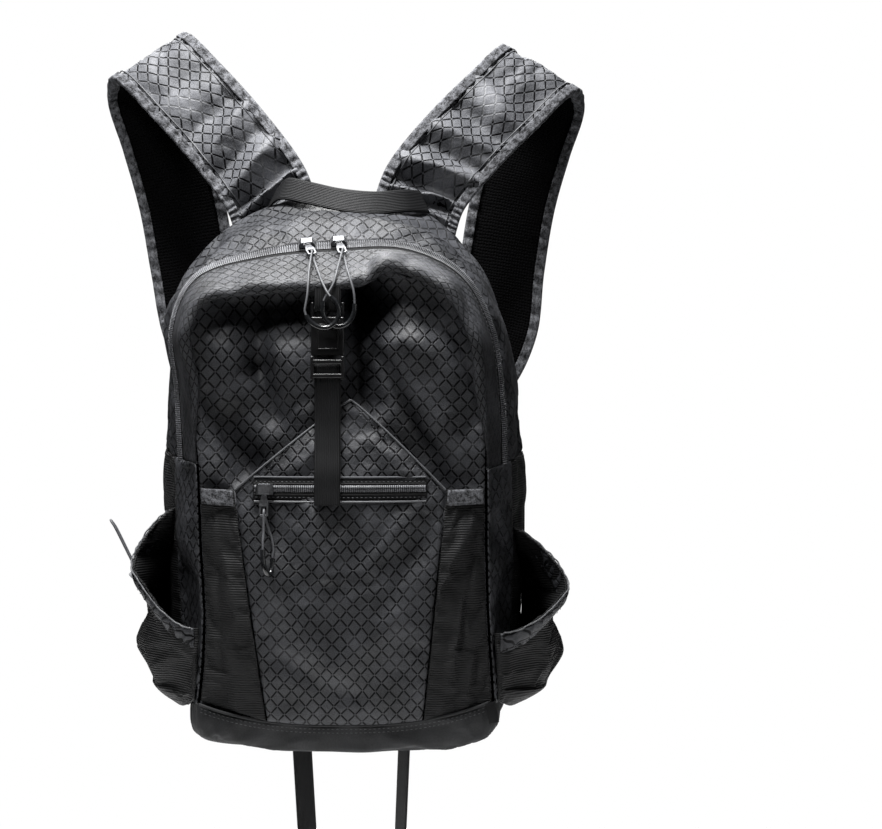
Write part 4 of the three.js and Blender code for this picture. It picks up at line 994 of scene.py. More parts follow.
def sideLie(u, v, points):
    return points[:, [1, 2]]


for side in ("left", "right"):
    rightSide = side == "right"
    strip = gridPiece(
        f"sideStrip{side.title()}", sidePanelAt(rightSide, 0, 0.46), 24, 60, "ripstop",
        [f"side_panel_{side}"], flat=sideLie,
    )
    letBuckle(strip, 0.03, mostMm=4)
    rear = gridPiece(
        f"sideRear{side.title()}", sidePanelAt(rightSide, 0.46, 1), 24, 60, "stretch",
        [f"side_rear_{side}"], flat=sideLie,
    )
    letBuckle(rear, 0.03, mostMm=4)


# The boot: a tray of plain cloth under the pack, with a turned rim sewn down by two rows of stitches.
frontFootHalf = abs(float(frontAt(frontFoot)[0]))
backFootHalf = abs(float(backAt(rowAtHeight(backAt, 36))[0]))


def rounded(t):
    return np.sign(t) * np.sin(np.pi / 2 * np.abs(t)) ** 0.7


def bootAt(u, v):
    a = 1 - 2 * u
    b = 2 * v - 1
    halfWidth = mix(frontFootHalf, backFootHalf, v) + 0.8
    out = np.minimum(1, (np.abs(a) ** 8 + np.abs(b) ** 8) ** (1 / 8))
    x = rounded(a) * halfWidth + mix(2, 0, v)
    rim = mix(baseRimAt(x), 36, v) + 1
    belly = 5 * (1 - a * a) * np.where(b < 0, b * b, 0)
    p = columnsOf(x, mix(-62.8, 68, (rounded(b) + 1) / 2) - belly, mix(6, rim, out**6))
    sag = 2.6 * swell(p * (1, 1, 1.4), 40, 11) * (0.35 + 0.65 * hump(u)) * (1 - out**24)
    facing = unit(columnsOf(rounded(a) * out**8, rounded(b) * out**8, -(1.02 - out**8)))
    return p + facing * sag[:, None]


def bootLie(u, v, points):
    return columnsOf(points[:, 0], points[:, 1] + points[:, 2])


boot = gridPiece("boot", bootAt, 110, 90, "boot", ["base_panel"], flat=bootLie, thick=1.5)
letBuckle(boot, 0.02, bending=2.0, mostMm=3)


def bootRimLine(drop):
    u = np.linspace(0.02, 0.98, 300)
    a = 2 * u - 1
    x = rounded(a) * frontFootHalf + 2
    y = -62.8 - 5 * (1 - a * a) - 1.3
    return columnsOf(x, y, baseRimAt(x) + 1 - drop)


facingFront = np.tile((0, -1.0, 0), (300, 1))
for name, drop in (("bootSeamUpper", 2.6), ("bootSeamLower", 5.4)):
    stitchPiece(name, bootRimLine(drop), facingFront, pitch=3.6, length=2.4)
tubePiece("bootSeamFold", bootRimLine(-0.4), 2.2, "boot")
print("sides and boot")


# Front pocket: a ripstop face with a peaked top edge bound by piping, stretch cloth at both sides, a zip
pocket = {"topHalf": 81, "footHalf": 60, "cornerZ": 212, "peakX": 8, "peakZ": 281, "lean": 3, "zipZ": 213}


def pocketFaceY(x, z):
    up = np.clip((z - 26) / (pocket["cornerZ"] - 26), 0, 1.4)
    across = np.cos(np.pi / 2 * np.minimum(1, np.abs(x) / (1.02 * pack["frontHalf"])))
    plain = pack["frontY"] - frontBulgeAt(x, z) - 3.4
    return plain - 17 * np.maximum(hump(up / 1.35), 0) ** 0.8 * across**0.7


def pocketTopZ(x):
    side = np.where(x < pocket["peakX"], -pocket["topHalf"], pocket["topHalf"])
    run = np.clip((x - pocket["peakX"]) / (side - pocket["peakX"]), 0, 1)
    return mix(pocket["peakZ"], pocket["cornerZ"], run**1.1)


pocketFolds = [
    {"from": (66, 205), "to": (20, 150), "wide": 9, "out": 4, "fade": 0.6},
    {"from": (70, 190), "to": (34, 120), "wide": 8, "out": -4, "fade": 0.5},
    {"from": (-60, 196), "to": (-30, 160), "wide": 9, "out": -3},
    {"from": (-24, 205), "to": (-10, 150), "wide": 10, "out": 4},
    {"from": (10, 200), "to": (18, 130), "wide": 11, "out": -3.5},
    {"from": (-52, 150), "to": (-20, 90), "wide": 12, "out": 4},
    {"from": (40, 110), "to": (-10, 70), "wide": 11, "out": 3.5},
    {"from": (-45, 80), "to": (10, 52), "wide": 8, "out": -3},
    {"from": (-40, 226), "to": (-16, 246), "wide": 9, "out": 3},
    {"from": (24, 250), "to": (52, 224), "wide": 9, "out": 3},
]


def pocketPlain(u, v):
    top = mix(-pocket["topHalf"], pocket["topHalf"], u)
    foot = mix(-pocket["footHalf"], pocket["footHalf"], u) + pocket["lean"]
    footZ = baseRimAt(foot) + 2
    z = mix(footZ, pocketTopZ(top), v)
    x = mix(foot, top, np.minimum(1, (z - footZ) / (pocket["cornerZ"] - footZ)))
    return x, z


def pocketAt(u, v):
    x, z = pocketPlain(u, v)
    edge = ease(np.minimum(u, 1 - u) * 8) * ease(np.minimum(v * 9, (1 - v) * 12))
    nearZip = 1 - 0.85 * np.exp(-(((z - pocket["zipZ"]) / 9) ** 2))
    place = columnsOf(x, pocketFaceY(x, z), z)
    folds = (ridges(pocketFolds, x, z) + 2.0 * swell(place, 30, 13)) * edge * nearZip
    return place - np.array([0, 1.0, 0]) * folds[:, None]


pocketFace = gridPiece("pocketFace", pocketAt, 50, 78, "ripstop", ["front_pocket"])
pinWhere(pocketFace, lambda p: np.abs(p[:, 2] - pocket["zipZ"]) < 14)
letBuckle(pocketFace, 0.03, bending=0.4, mostMm=5, outMm=0.8)
edgeU = np.linspace(0, 1, 160)
points, outs = surfaceLine(pocketAt, edgeU, np.ones(160), 0.2)
tubePiece("pocketPiping", points, 1.8, "piping")
points, outs = surfaceLine(pocketAt, np.linspace(0.02, 0.98, 160), np.full(160, 0.975), 0.4)
stitchPiece("pocketEdgeStitch", points, outs)

meshFolds = [
    {"from": (0.94, 0.46), "to": (0.6, 0.26), "wide": 6, "out": 4},
    {"from": (0.98, 0.44), "to": (0.72, 0.14), "wide": 6, "out": 4},
    {"from": (1.0, 0.36), "to": (0.85, 0.12), "wide": 5, "out": 3},
    {"from": (0.93, 0.45), "to": (0.8, 0.2), "wide": 3, "out": -4},
    {"from": (0.97, 0.4), "to": (0.9, 0.14), "wide": 3, "out": -3},
    {"from": (-0.86, 0.45), "to": (-0.66, 0.2), "wide": 6, "out": 3},
    {"from": (-0.8, 0.44), "to": (-0.8, 0.16), "wide": 4, "out": -3},
]


def pocketSideAt(rightSide, forward=0.0, fromU=0.0, toU=1.0, fromV=0.0, toV=1.0):
    hand = 1 if rightSide else -1

    def surface(u, v):
        u = 1 - u if rightSide else u
        u, v = mix(fromU, toU, u), mix(fromV, toV, v)
        z = mix(46, pocket["cornerZ"], v)
        x, edgeZ = pocketPlain(np.full(u.shape, 1.0 if rightSide else 0.0), v)
        inner = columnsOf(x + hand * 1.4, pocketFaceY(x, edgeZ), edgeZ)
        outer = insetAt(frontAt, rowAtHeight(frontAt, z, rightSide), 2.5)
        p = mix(columnsOf(outer[:, 0], outer[:, 1] - 2, z), inner, u[:, None])
        folds = hump(u) * ridges(meshFolds, p[:, 0], p[:, 2], pack["frontHalf"], pack["height"])
        small = hump(u) * 1.5 * swell(p * (1, 1, 0.6), 16, 15)
        return p - np.array([0, 1.0, 0]) * (folds + small + forward)[:, None]

    return surface


for side in ("left", "right"):
    rightSide = side == "right"
    name = side.title()
    gusset = gridPiece(
        f"pocketSide{name}", pocketSideAt(rightSide), 34, 96, "stretch",
        [f"pocket_mesh_{side}"], thick=0.8,
    )
    letBuckle(gusset, 0.03, bending=0.2, mostMm=4)
    bound = pocketSideAt(rightSide, 2.0, 0.02, 0.96, 0.93, 1.0)
    gridPiece(
        f"pocketBinding{name}", bound, 30, 6, "binding", [f"pocket_binding_{side}"], thick=1.2
    )
    points, outs = surfaceLine(bound, np.linspace(0, 1, 60), np.full(60, 0.2), 0.6)
    stitchPiece(f"pocketBindingStitch{name}", points, outs)


def onPocket(x, z, forward):
    return columnsOf(x, pocketFaceY(x, z) - forward, z)


def pocketTapeAt(u, v):
    return onPocket(mix(-67, 67, u), pocket["zipZ"] + (v - 0.5) * 19, 1.2 + 0.6 * hump(v))


def pocketCoilAt(u, v):
    x = mix(-66, 66, u)
    base = onPocket(x, np.full(x.shape, pocket["zipZ"] + 0.5), 1.9)
    outs = np.tile((0, -1.0, 0), (len(x), 1))
    return ribbedBand(base, outs, np.tile((0, 0, 1.0), (len(x), 1)), 134, 5.4, 1.9, u, v)


gridPiece("pocketZipTape", pocketTapeAt, 60, 6, "tape", ["pocket_zip"], thick=0.8)
gridPiece("pocketZipCoil", pocketCoilAt, 480, 8, "coil", thick=0)
zipX = np.linspace(-66, 66, 120)
for name, z in (("pocketZipStitchUpper", 218.9), ("pocketZipStitchLower", 207.0)):
    stitchPiece(name, onPocket(zipX, np.full(120, z), 2.2), np.tile((0, -1.0, 0), (120, 1)))
for name, z, stuff in (
    ("pocketZipFoldTop", 222.2, "binding"),
    ("pocketZipFoldUpper", 217.2, "tape"),
    ("pocketZipFoldLower", 209.0, "tape"),
    ("pocketZipFoldFoot", 203.6, "piping"),
):
    tubePiece(name, onPocket(zipX, np.full(120, z), 1.5), 1.7, stuff)
print("front pocket")


# Bottle pockets: a pouch on each side; its mouth slants up from the front seam to the rear of the side
bottleProfile = {"rise": (0.0, 0.14, 0.36, 0.7, 1.0), "out": (0.05, 0.52, 0.78, 0.7, 1.0)}
bottleSides = {
    "left": {"frontHemZ": 102, "middleHemZ": 143, "rearHemZ": 192, "bulge": 41},
    "right": {"frontHemZ": 98, "middleHemZ": 128, "rearHemZ": 176, "bulge": 49},
}


def bottleOut(rise):
    rows, outs = bottleProfile["rise"], bottleProfile["out"]
    span = np.clip(np.searchsorted(rows, rise, side="right") - 1, 0, len(rows) - 2)
    start, end = np.take(rows, span), np.take(rows, span + 1)
    return mix(np.take(outs, span), np.take(outs, span + 1), ease((rise - start) / (end - start)))


def bottleHemZ(row, u):
    low = mix(row["frontHemZ"], row["middleHemZ"], ease(u * 2))
    high = mix(row["middleHemZ"], row["rearHemZ"], np.maximum(u * 2 - 1, 0) ** 1.2)
    return np.where(u < 0.5, low, high)


def bottleAt(rightSide, row, gather=1.0):
    hand = 1 if rightSide else -1

    def surface(u, v):
        u = 1 - u if not rightSide else u
        foot = mix(44, 36, u) + 2
        z = mix(foot, bottleHemZ(row, u), v)
        rear = mix(0.96, 0.46, ease(1.6 * v - 0.6))
        p = gussetAt(rowAtHeight(frontAt, z, rightSide), mix(0.03, rear, u), 2)
        sag = (foot - 33) * hump(u) * (1 - v) ** 4
        out = row["bulge"] * bottleOut(v) * hump(u) ** 0.8
        dimples = gather * 1.6 * swell(p * (1, 1, 0.5), 15, 17) * hump(u) * hump(v) ** 0.5
        slanting = gather * 1.1 * np.sin(v * 13 + u * 4 + 3 * swell(p, 40, 19)) * hump(u) * hump(v)
        return columnsOf(p[:, 0] + hand * (out + dimples + slanting), p[:, 1], z - sag)

    return surface


def bottleHemAt(rightSide, row, fromV=0.0, toV=1.0, lift=1.4):
    pouch = bottleAt(rightSide, row, 0.0)

    def surface(u, v):
        u = mix(0.015, 0.985, u)
        foot = 1 - 16 / (bottleHemZ(row, 1 - u if not rightSide else u) - 44)
        share = mix(foot, 1, mix(fromV, toV, v))
        points, outs = surfaceLine(pouch, u, share)
        pucker = 0.7 * np.sin(u * 95 + 4 * swell(points, 20, 23)) * hump(mix(fromV, toV, v) * 0.9 + 0.05)
        puff = lift + 0.7 * hump(mix(fromV, toV, v)) ** 0.6 + pucker
        return points + outs * puff[:, None]

    return surface


for side, row in bottleSides.items():
    rightSide = side == "right"
    name = side.title()
    pouch = bottleAt(rightSide, row)
    piece = gridPiece(
        f"bottlePocket{name}", pouch, 64, 84, "stretch", [f"bottle_pocket_{side}"], flat=sideLie
    )
    letBuckle(piece, 0.035, bending=0.25, mostMm=5)
    hem = bottleHemAt(rightSide, row)
    gridPiece(f"bottleHem{name}", hem, 120, 10, "ripstop", [f"bottle_hem_{side}"], flat=sideLie)
    hemU = np.linspace(0.01, 0.99, 200)
    points, outs = surfaceLine(hem, hemU, np.full(200, 0.16), 0.5)
    stitchPiece(f"bottleHemStitch{name}", points, outs)
    points, outs = surfaceLine(hem, hemU, np.full(200, 0.99), 0.6)
    wavy = points + 0.8 * columnsOf(*(swell(points, 5, seed) for seed in (1, 2, 3)))
    tubePiece(f"bottleRim{name}", wavy, 1.2, "piping")
print("bottle pockets")


# Webbing: a flat band along points, with the direction across it at each point
def bandAt(rows, width):
    places = [row["at"] for row in rows]
    acrosses = [row["across"] for row in rows]

    def surface(u, v):
        wide = width(v) if callable(width) else width
        across = unit(through(acrosses, v))
        return through(places, v) + across * ((u - 0.5) * wide)[:, None]

    return surface


def bandPiece(name, rows, width, steps, nodes):
    surface = bandAt(rows, width)
    run = lengthOf(surface(np.full(200, 0.5), np.linspace(0, 1, 200)))

    def lie(u, v, points):
        return columnsOf(u * 20, v * run)

    piece = gridPiece(name, surface, 8, steps, "webbing", nodes, flat=lie, thick=1.4)
    piece.modifiers["wall"].offset = 0


# Haul loop, y from the back seam and z from the top of the pack
haulRows = [
    {"at": (-61, -7, -1.8), "across": (0.45, 0.1, 0.9)},
    {"at": (-52, -14, 6.5), "across": (0.35, 0.3, 0.88)},
    {"at": (-30, -30, 3), "across": (0.1, 0.4, 0.9)},
    {"at": (-3, -42, -3), "across": (0, 0.4, 0.92)},
    {"at": (24, -43, -5.5), "across": (0, 0.4, 0.92)},
    {"at": (48, -30, -3.4), "across": (-0.2, 0.35, 0.9)},
    {"at": (64, -9, -3.6), "across": (-0.4, 0.1, 0.9)},
]
topSeam = np.array([0, pack["backY"], pack["height"]])
bandPiece("haulLoop", [{**row, "at": topSeam + row["at"]} for row in haulRows], 20, 90, ["haul_loop"])

# Shoulder straps: y from the back panel; the right strap lies a little lower and closer in
strapRows = [
    {"at": (-56, 0.4, 414), "across": (0.93, 0, 0.36)},
    {"at": (-60, 1.8, 430), "across": (0.9, 0, 0.43)},
    {"at": (-68, 7, 450), "across": (0.86, 0, 0.5)},
    {"at": (-98, 25, 490), "across": (0.77, 0, 0.63)},
    {"at": (-135, 43, 531), "across": (0.77, 0, 0.63)},
    {"at": (-168, 65, 561), "across": (0.85, 0, 0.53)},
    {"at": (-174, 87, 541), "across": (0.93, 0, 0.36)},
    {"at": (-160, 94, 492), "across": (0.97, 0, 0.24)},
    {"at": (-146, 95, 440), "across": (0.98, 0, 0.18)},
    {"at": (-136, 92, 385), "across": (0.98, 0, 0.16)},
    {"at": (-126, 85, 335), "across": (0.97, 0, 0.24)},
    {"at": (-106, 73, 294), "across": (0.88, 0, 0.48)},
    {"at": (-86, 58, 260), "across": (0.93, 0, 0.37)},
    {"at": (-76, 46, 230), "across": (0.948, 0, 0.32)},
]
strapSides = {
    "left": {"hand": 1, "closer": 1, "lower": 0, "tailFootX": -36, "tailTopX": -54, "tailTurn": 44},
    "right": {"hand": -1, "closer": 0.955, "lower": 10, "tailFootX": 43, "tailTopX": 56, "tailTurn": 64},
}
strapRootY = pack["backY"] + 3.25
strapFlat = {"width": 70, "footWidth": 42, "length": 640, "bindingWidth": 24, "seamInset": 9.5}
# Ridges and hollows across a strap near its root: along it by share, how far it stands out, how it slants
strapCreases = [
    {"at": 0.078, "wide": 0.010, "out": 4.5, "slant": 0.03},
    {"at": 0.104, "wide": 0.010, "out": -9, "slant": 0.06},
    {"at": 0.128, "wide": 0.009, "out": 6.9, "slant": 0.05},
    {"at": 0.156, "wide": 0.012, "out": -12, "slant": 0.03},
    {"at": 0.184, "wide": 0.010, "out": 8.1, "slant": 0.03},
    {"at": 0.212, "wide": 0.009, "out": -7.5, "slant": 0.02},
    {"at": 0.238, "wide": 0.010, "out": 5.7, "slant": 0.03},
    {"at": 0.266, "wide": 0.012, "out": -4.8, "slant": 0.0},
    {"at": 0.3, "wide": 0.014, "out": 2.4, "slant": -0.02},
]


def onSide(side, row):
    x, y, z = row["at"]
    high = ease((z - pack["height"]) / 120)
    closer = mix(1, side["closer"], ease((z - 300) / 100))
    across = row["across"]
    return {
        "at": (x * side["hand"] * closer, strapRootY + y, z - side["lower"] * high),
        "across": (across[0], across[1] * side["hand"], across[2] * side["hand"]),
    }


def strapWidth(v):
    return mix(strapFlat["width"], strapFlat["footWidth"], ease((v - 0.8) / 0.2))


def strapFaceAt(rows, facing, seed):
    middle = bandAt(rows, strapWidth)
    run = strapFlat["length"]

    def surface(u, v):
        points, outs = surfaceLine(middle, u, v)
        body = hump(u) ** 0.8
        padding = 1.5 + 3.4 * body * ease(v * 9) * ease((1 - v) * 12)
        creases = sum(
            c["out"] * np.exp(-(((v - c["at"] - c["slant"] * (u - 0.5)) / c["wide"]) ** 2))
            for c in strapCreases
        )
        edge = np.exp(-((np.minimum(u, 1 - u) / 0.2) ** 2))
        flatPlace = columnsOf(u * strapFlat["width"], v * run, 0 * u)
        ripple = np.sin(v * run / 2.9 + 3 * swell(flatPlace, 26, seed))
        puckers = 1.2 * edge * ripple * swell(flatPlace, 33, seed + 1)
        swells = 2.4 * swell(flatPlace * (1, 0.8, 1), 30, seed + 2) * body**1.5
        out = facing * padding + creases * body**0.6 + puckers * hump(u) ** 0.3 + swells
        return points + outs * out[:, None]

    return surface


def strapLie(u, v, points):
    return columnsOf(u * strapFlat["width"], v * strapFlat["length"])


for side, row in strapSides.items():
    name = side.title()
    rows = [onSide(row, r) for r in strapRows]
    outer = strapFaceAt(rows, 1, 31 if side == "left" else 41)
    inner = strapFaceAt(rows, -1, 31 if side == "left" else 41)
    face = gridPiece(
        f"shoulderStrap{name}", outer, 30, 240, "strapCloth",
        [f"shoulder_strap_{side}"], flat=strapLie,
    )
    letBuckle(face, 0.03, bending=0.4, mostMm=4, outMm=0.8)

    def innerAt(u, v, inner=inner):
        return inner(1 - u, v)

    lining = gridPiece(f"shoulderStrapLining{name}", innerAt, 30, 240, "airMesh", flat=strapLie)
    middle = bandAt(rows, strapWidth)
    for edgeName, edgeU, hand in (("Inner", 1.0, 1), ("Outer", 0.0, -1)):

        # The binding folds round the edge of the pad from one face to the other.
        def bindingAt(u, v, edgeU=edgeU, hand=hand, seed=51 + 7 * (edgeU + (side == "left"))):
            v = mix(0.0, 0.995, v)
            atEdge = np.full(u.shape, edgeU)
            points, outs = surfaceLine(middle, atEdge, v)
            across = unit(through([r["across"] for r in rows], v)) * hand
            angle = mix(-0.5, 0.5, u if hand > 0 else 1 - u) * 2
            along = v * strapFlat["length"]
            run = columnsOf(along, 0 * v, 0 * v)
            pucker = 0.8 * np.sin(along / 1.9 + 3 * swell(run, 21, seed)) + 0.8 * swell(run, 6, seed)
            inward = -8.0 * np.maximum(np.abs(angle) - 0.18, 0) / 0.82
            roll = np.sign(angle) * (2.7 + 1.0 * np.minimum(np.abs(angle) * 4, 1) + 0.5 * np.abs(angle))
            gathered = pucker * np.sign(angle) * np.minimum(np.abs(angle) * 3, 1)
            roll = roll * np.minimum(np.abs(angle) * 5, 1) + gathered
            out = np.where(np.abs(angle) < 0.18, 1.2, 1.2 + inward)
            return points + across * out[:, None] + outs * roll[:, None]

        def bindingLie(u, v, points):
            return columnsOf(v * strapFlat["length"], u * strapFlat["bindingWidth"])

        gridPiece(
            f"strapBinding{edgeName}{name}", bindingAt, 18, 420, "binding",
            flat=bindingLie, thick=0.6,
        )
        stitchV = np.linspace(0.01, 0.985, 420)
        inset = strapFlat["seamInset"] / strapFlat["width"]
        stitchU = np.full(420, edgeU - hand * inset)
        points, outs = surfaceLine(outer, stitchU, stitchV, 0.7)
        tubePiece(f"strapSeam{edgeName}{name}", points, 1.1, "thread")
        stitchPiece(f"strapStitch{edgeName}{name}", points, outs, pitch=3.8, length=2.6)
print("shoulder straps")


# Buckle and webbing on the front, all in one upright plane
buckle = {"x": -9.5, "plugZ": 297, "plugHeight": 18, "socketHeight": 38, "rail": 2.5, "bar": 3.0}
lipY = pack["frontY"] - pack["lipReach"]
socketY = lipY - 3.1
plugY = socketY - 2
barClear = buckle["bar"] / 2 + 0.4 + 0.7
plugBarZ = buckle["plugZ"] + buckle["plugHeight"] / 2
socketFootZ = buckle["plugZ"] + buckle["plugHeight"] + 0.4
socketBarZ = socketFootZ + buckle["socketHeight"] - buckle["bar"] / 2
outerBarY = plugY - barClear - 0.7 - 0.4 - buckle["bar"] / 2
railX = (20 + buckle["rail"]) / 2 + 0.4
plateHeight = buckle["socketHeight"] - 2 * barClear - buckle["bar"]
plateZ = socketFootZ + plateHeight / 2


def buildSocket(bm):
    x = buckle["x"]
    addBox(bm, (25.6, 5.4, plateHeight), (x, socketY - 0.4, plateZ), 1.3)
    top = socketFootZ + plateHeight
    rail = (2.6, 3.4, buckle["socketHeight"] - plateHeight + 4)
    for hand in (-1, 1):
        addBox(bm, rail, (x + hand * railX, socketY, top + 5), 0.8)
        addBox(bm, (1.4, 1.0, plateHeight * 0.55), (x + hand * 7.6, socketY - 3.3, plateZ - 1.5), 0.4)
    addBar(bm, 2 * railX, buckle["bar"], (x, socketY, socketBarZ))
    addBox(bm, (13.0, 1.0, 2.2), (x, socketY - 3.3, plateZ + plateHeight * 0.28), 0.4)
    addBox(bm, (17.0, 0.9, 1.6), (x, socketY - 3.2, plateZ - plateHeight * 0.34), 0.3)


def buildPlug(bm):
    x = buckle["x"]
    depth = plugY - outerBarY + buckle["bar"]
    rail = (buckle["rail"], depth, buckle["plugHeight"])
    for hand in (-1, 1):
        addBox(bm, rail, (x + hand * railX, (plugY + outerBarY) / 2, plugBarZ), 0.7)
    addBar(bm, 2 * railX, buckle["bar"], (x, plugY, plugBarZ))
    for z in (buckle["plugZ"] + 3, buckle["plugZ"] + buckle["plugHeight"] - 4.2):
        addBox(bm, (2 * railX, 3.0, 3.4), (x, outerBarY, z), 0.9)


solidPiece("buckleSocket", buildSocket, "plastic", ["buckle_socket"])
solidPiece("bucklePlug", buildPlug, "plastic", ["buckle_plug"])


def uprightRows(points):
    return [{"at": (buckle["x"], y, z), "across": (1, 0, 0)} for y, z in points]


def roundBar(barY, barZ, fromAngle, toAngle):
    angles = np.linspace(fromAngle, toAngle, 5)
    return [(barY + math.cos(a) * barClear, barZ + math.sin(a) * barClear) for a in angles]


tabTopZ = float(frontAt(8.8)[2]) - 4
tabBackY = lipY - 0.75 - 0.7 - 0.25
bandPiece(
    "upperTab",
    uprightRows(
        [
            (tabBackY - 1.9, tabTopZ),
            (socketY - barClear, socketBarZ + 6),
            *roundBar(socketY, socketBarZ, math.pi, 2 * math.pi),
            (socketY + barClear, socketBarZ + 6),
            (tabBackY, tabTopZ),
        ]
    ),
    20, 60, ["upper_tab"],
)


def overPocket(z, forward):
    x = np.array([buckle["x"]])
    return float(pocketFaceY(x, np.array([float(z)]))[0]) - forward, z


bandPiece(
    "frontStrap",
    uprightRows(
        [
            overPocket(246, 1.95),
            overPocket(260, 1.95),
            (plugY + barClear - 2, plugBarZ - 18),
            *roundBar(plugY, plugBarZ, 0, math.pi),
            (plugY - barClear - 0.4, plugBarZ - 15),
            overPocket(262, 4.35),
            overPocket(244, 3.85),
            overPocket(226, 5.35),
            overPocket(213, 4.85),
            overPocket(201, 4.85),
        ]
    ),
    20, 140, ["front_strap"],
)
print("buckle and front strap")

# Zip sliders, pulls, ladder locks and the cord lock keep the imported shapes, with softened edges
for node, name in (("main_left", "mainLeft"), ("main_right", "mainRight"), ("pocket", "pocket")):
    softenedNode(f"{name}Slider", f"{node}_slider", 0.35, "nickel")
    softenedNode(f"{name}Pull", f"{node}_pull", 0.25, "nickel")
softenedNode("cordLockLeft", "cord_lock_left", 0.8, "lock")
for side in ("left", "right"):
    softenedNode(f"ladderLock{side.title()}", f"ladder_lock_{side}", 0.6, "plastic")
print("zip sliders and locks")


# Cords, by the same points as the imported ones: each leaves its grip, passes the eye of a pull and comes back
cordRows = {
    "main_left_cord": [
        (-25.7, -85.4, 346.6), (-26.5, -85, 349.9), (-25.9, -84.5, 354.2), (-24.7, -83, 361.9),
        (-24.2, -79.5, 370.5), (-24.1, -73.5, 377.8), (-23.9, -66, 382.8), (-23.6, -58, 387.8),
        (-23.2, -53.8, 391.4), (-22.9, -50.6, 394.4), (-22.6, -46.8, 396.4), (-22.4, -44.9, 394.8),
        (-22.1, -45, 392.9), (-21.7, -47.8, 391.2), (-20.8, -53, 388.2), (-19.8, -57, 386),
        (-17.8, -66, 381.4), (-16.2, -72, 378), (-14.6, -76, 373.8), (-12, -80.5, 368.7),
        (-9.2, -84, 363.7), (-7, -85.5, 360.75),
    ],
    "main_right_cord": [
        (-12.1, -81, 357.3), (-10.8, -81, 360.3), (-8.3, -80.6, 364.2), (-4.8, -78.5, 370.8),
        (-3.2, -75.2, 376.6), (-2.2, -70, 381.4), (-1, -62, 387), (0.2, -54.5, 392.8),
        (0.9, -51, 395.8), (1.2, -47.2, 397.8), (1.4, -45.3, 396.2), (1.7, -45.4, 394.3),
        (2.2, -48.4, 392.7), (2.9, -53.4, 389.8), (3.6, -58, 387.4), (4.8, -66, 382.9),
        (6.2, -72, 379.2), (8.2, -77, 373.4), (10.7, -80.2, 364.6), (11.6, -81, 355.3),
    ],
    "pocket_cord": [
        (-58.2, -100, 168.2), (-58.2, -98.8, 174.6), (-57.8, -96.8, 181.2), (-57.8, -95.8, 188.6),
        (-57.8, -95.2, 193.5), (-57.8, -94.4, 196.4), (-57.8, -92.1, 197.8), (-57.7, -89.8, 196.4),
        (-57.2, -88.4, 193.5), (-56.2, -87.8, 188.9), (-54.5, -87.6, 182.8), (-52.2, -88.4, 175.5),
        (-50.8, -89, 167.5), (-51.5, -89.8, 160.6),
    ],
    "drawcord_left": [
        (-167.8, -4.6, 144.8), (-171, -4.7, 151), (-175.6, -4.9, 160.5), (-180.3, -5.1, 170.2),
        (-183.9, -5.2, 177.2), (-186.1, -4.4, 180.4), (-186.9, -2.4, 181.6), (-186.1, -0.4, 180.2),
        (-183.7, 0.4, 176.8), (-179.9, 0.3, 169.6), (-175.2, 0.1, 159.9), (-170.6, -0.1, 150.4),
        (-167.4, -0.2, 144.2),
    ],
}
gripRows = {
    "main_left_grip": [
        (-25.55, -85.5, 346.2), (-23.1, -85.8, 342.5), (-19.5, -85.8, 339.3), (-14.9, -85.8, 337.2),
        (-10.3, -85.8, 336.8), (-6, -85.8, 338.5), (-2.6, -85.8, 341.7), (-0.5, -85.8, 346.3),
        (-0.6, -85.8, 351.6), (-3.1, -85.8, 356.7), (-6.7, -85.6, 360.45),
    ],
    "main_right_grip": [
        (11.6, -81.05, 354.9), (11.3, -81.2, 349.6), (9.7, -81.2, 345), (6.7, -81.2, 340.7),
        (2.2, -81.2, 338.1), (-2.8, -81.2, 337.7), (-7.4, -81.2, 339.5), (-10.6, -81.2, 342.7),
        (-12.5, -81.2, 347.3), (-12.8, -81.2, 351.9), (-12.2, -81.1, 356.9),
    ],
    "pocket_grip": [
        (-58.2, -100.1, 167.8), (-58.1, -101.4, 161.9), (-57.5, -102, 156.6), (-56.2, -101, 152.2),
        (-54.7, -98.4, 149), (-53.3, -95, 148.4), (-52.3, -92, 151.1), (-51.7, -90.4, 155.3),
        (-51.55, -89.85, 160.2),
    ],
}
pieceNames = {
    "main_left_grip": "mainLeftGrip",
    "main_right_grip": "mainRightGrip",
    "pocket_grip": "pocketGrip",
    "main_left_cord": "mainLeftCord",
    "main_right_cord": "mainRightCord",
    "pocket_cord": "pocketCord",
    "drawcord_left": "drawcordLeft",
}


def lineThrough(rows, stepMm=1.0):
    steps = int(lengthOf(through(rows, np.linspace(0, 1, 400))) / stepMm)
    return through(rows, np.linspace(0, 1, steps + 1))


for node, rows in gripRows.items():
    tubePiece(pieceNames[node], lineThrough(rows), 4, "grip", [node])
for node, rows in cordRows.items():
    points = lineThrough(rows)
    piece = tubePiece(pieceNames[node], points, 1.8, "cord", [node])
    tuple(toFrame(points[0]))
    lengthOf(points) / 1000
print("cords and grips")

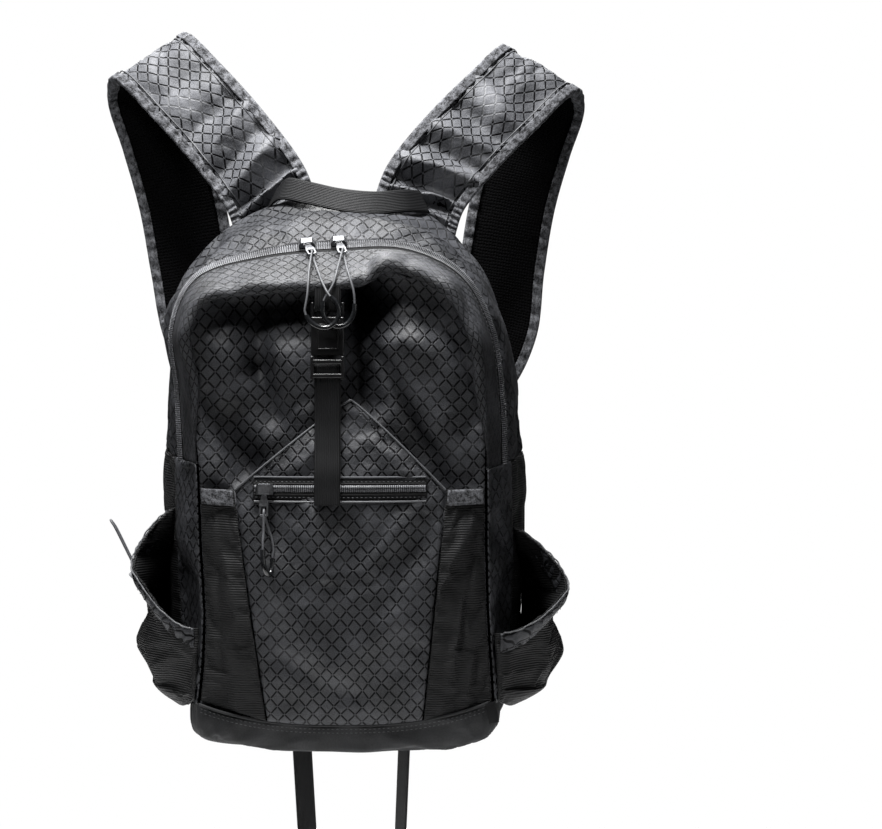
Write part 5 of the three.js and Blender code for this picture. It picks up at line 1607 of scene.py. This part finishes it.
# The tape loop at the corner of the boot, and the webbing behind that runs through the ladder locks
cornerRows = [
    {"at": (116, -66, 45), "across": (1, 0, 0.3)},
    {"at": (117.5, -66.4, 37), "across": (1, 0, 0.25)},
    {"at": (119, -66, 29), "across": (1, 0, 0.2)},
]
bandPiece("cornerLoop", cornerRows, 8, 12, ["corner_loop"])
anchorRows = [
    {"at": (-128, 0, 44), "across": (0.97, 0, -0.25)},
    {"at": (-125, 0.2, 56), "across": (0.96, 0, -0.28)},
    {"at": (-112, 9, 98), "across": (0.95, 0, -0.3)},
    {"at": (-90, 24, 158), "across": (0.96, 0, -0.1)},
]
lockTurn = 3 * 0.71 + 0.4 + 0.7
for side, row in strapSides.items():
    end = onSide(row, strapRows[-1])
    before = onSide(row, strapRows[-2])
    endPoint = Vector(end["at"])
    down = (endPoint - Vector(before["at"])).normalized()
    across = Vector(end["across"]).normalized()
    normal = -across.cross(down).normalized()
    outer = normal if normal.y > 0 else -normal
    barAt = endPoint + down * (0.4 + 22 - 1.5)
    rows = [
        {
            "at": (r["at"][0] * row["hand"], pack["backY"] + 2.45 + r["at"][1], r["at"][2]),
            "across": (r["across"][0], 0, r["across"][2] * row["hand"]),
        }
        for r in anchorRows
    ]
    for t in (0, 0.25, 0.5, 0.75, 1):
        angle = math.pi * t
        place = barAt - outer * (math.cos(angle) * lockTurn) - down * (math.sin(angle) * lockTurn)
        rows.append({"at": tuple(place), "across": tuple(across)})
    turned = math.radians(row["tailTurn"])
    for t in (0.25, 0.6, 1):
        twist = min(1, t * 1.6)
        rows.append(
            {
                "at": (
                    mix(row["tailTopX"], row["tailFootX"], t),
                    barAt.y + lockTurn + mix(2, -4, t),
                    mix(barAt.z, -100, t),
                ),
                "across": (
                    mix(across.x, math.cos(turned), twist),
                    mix(across.y, math.sin(turned) * row["hand"], twist),
                    mix(across.z, 0, twist),
                ),
            }
        )
    bandPiece(f"strapWebbing{side.title()}", rows, 20, 160, [f"strap_webbing_{side}"])
print("rear webbing")

runBuckling()
print("cloth settled")
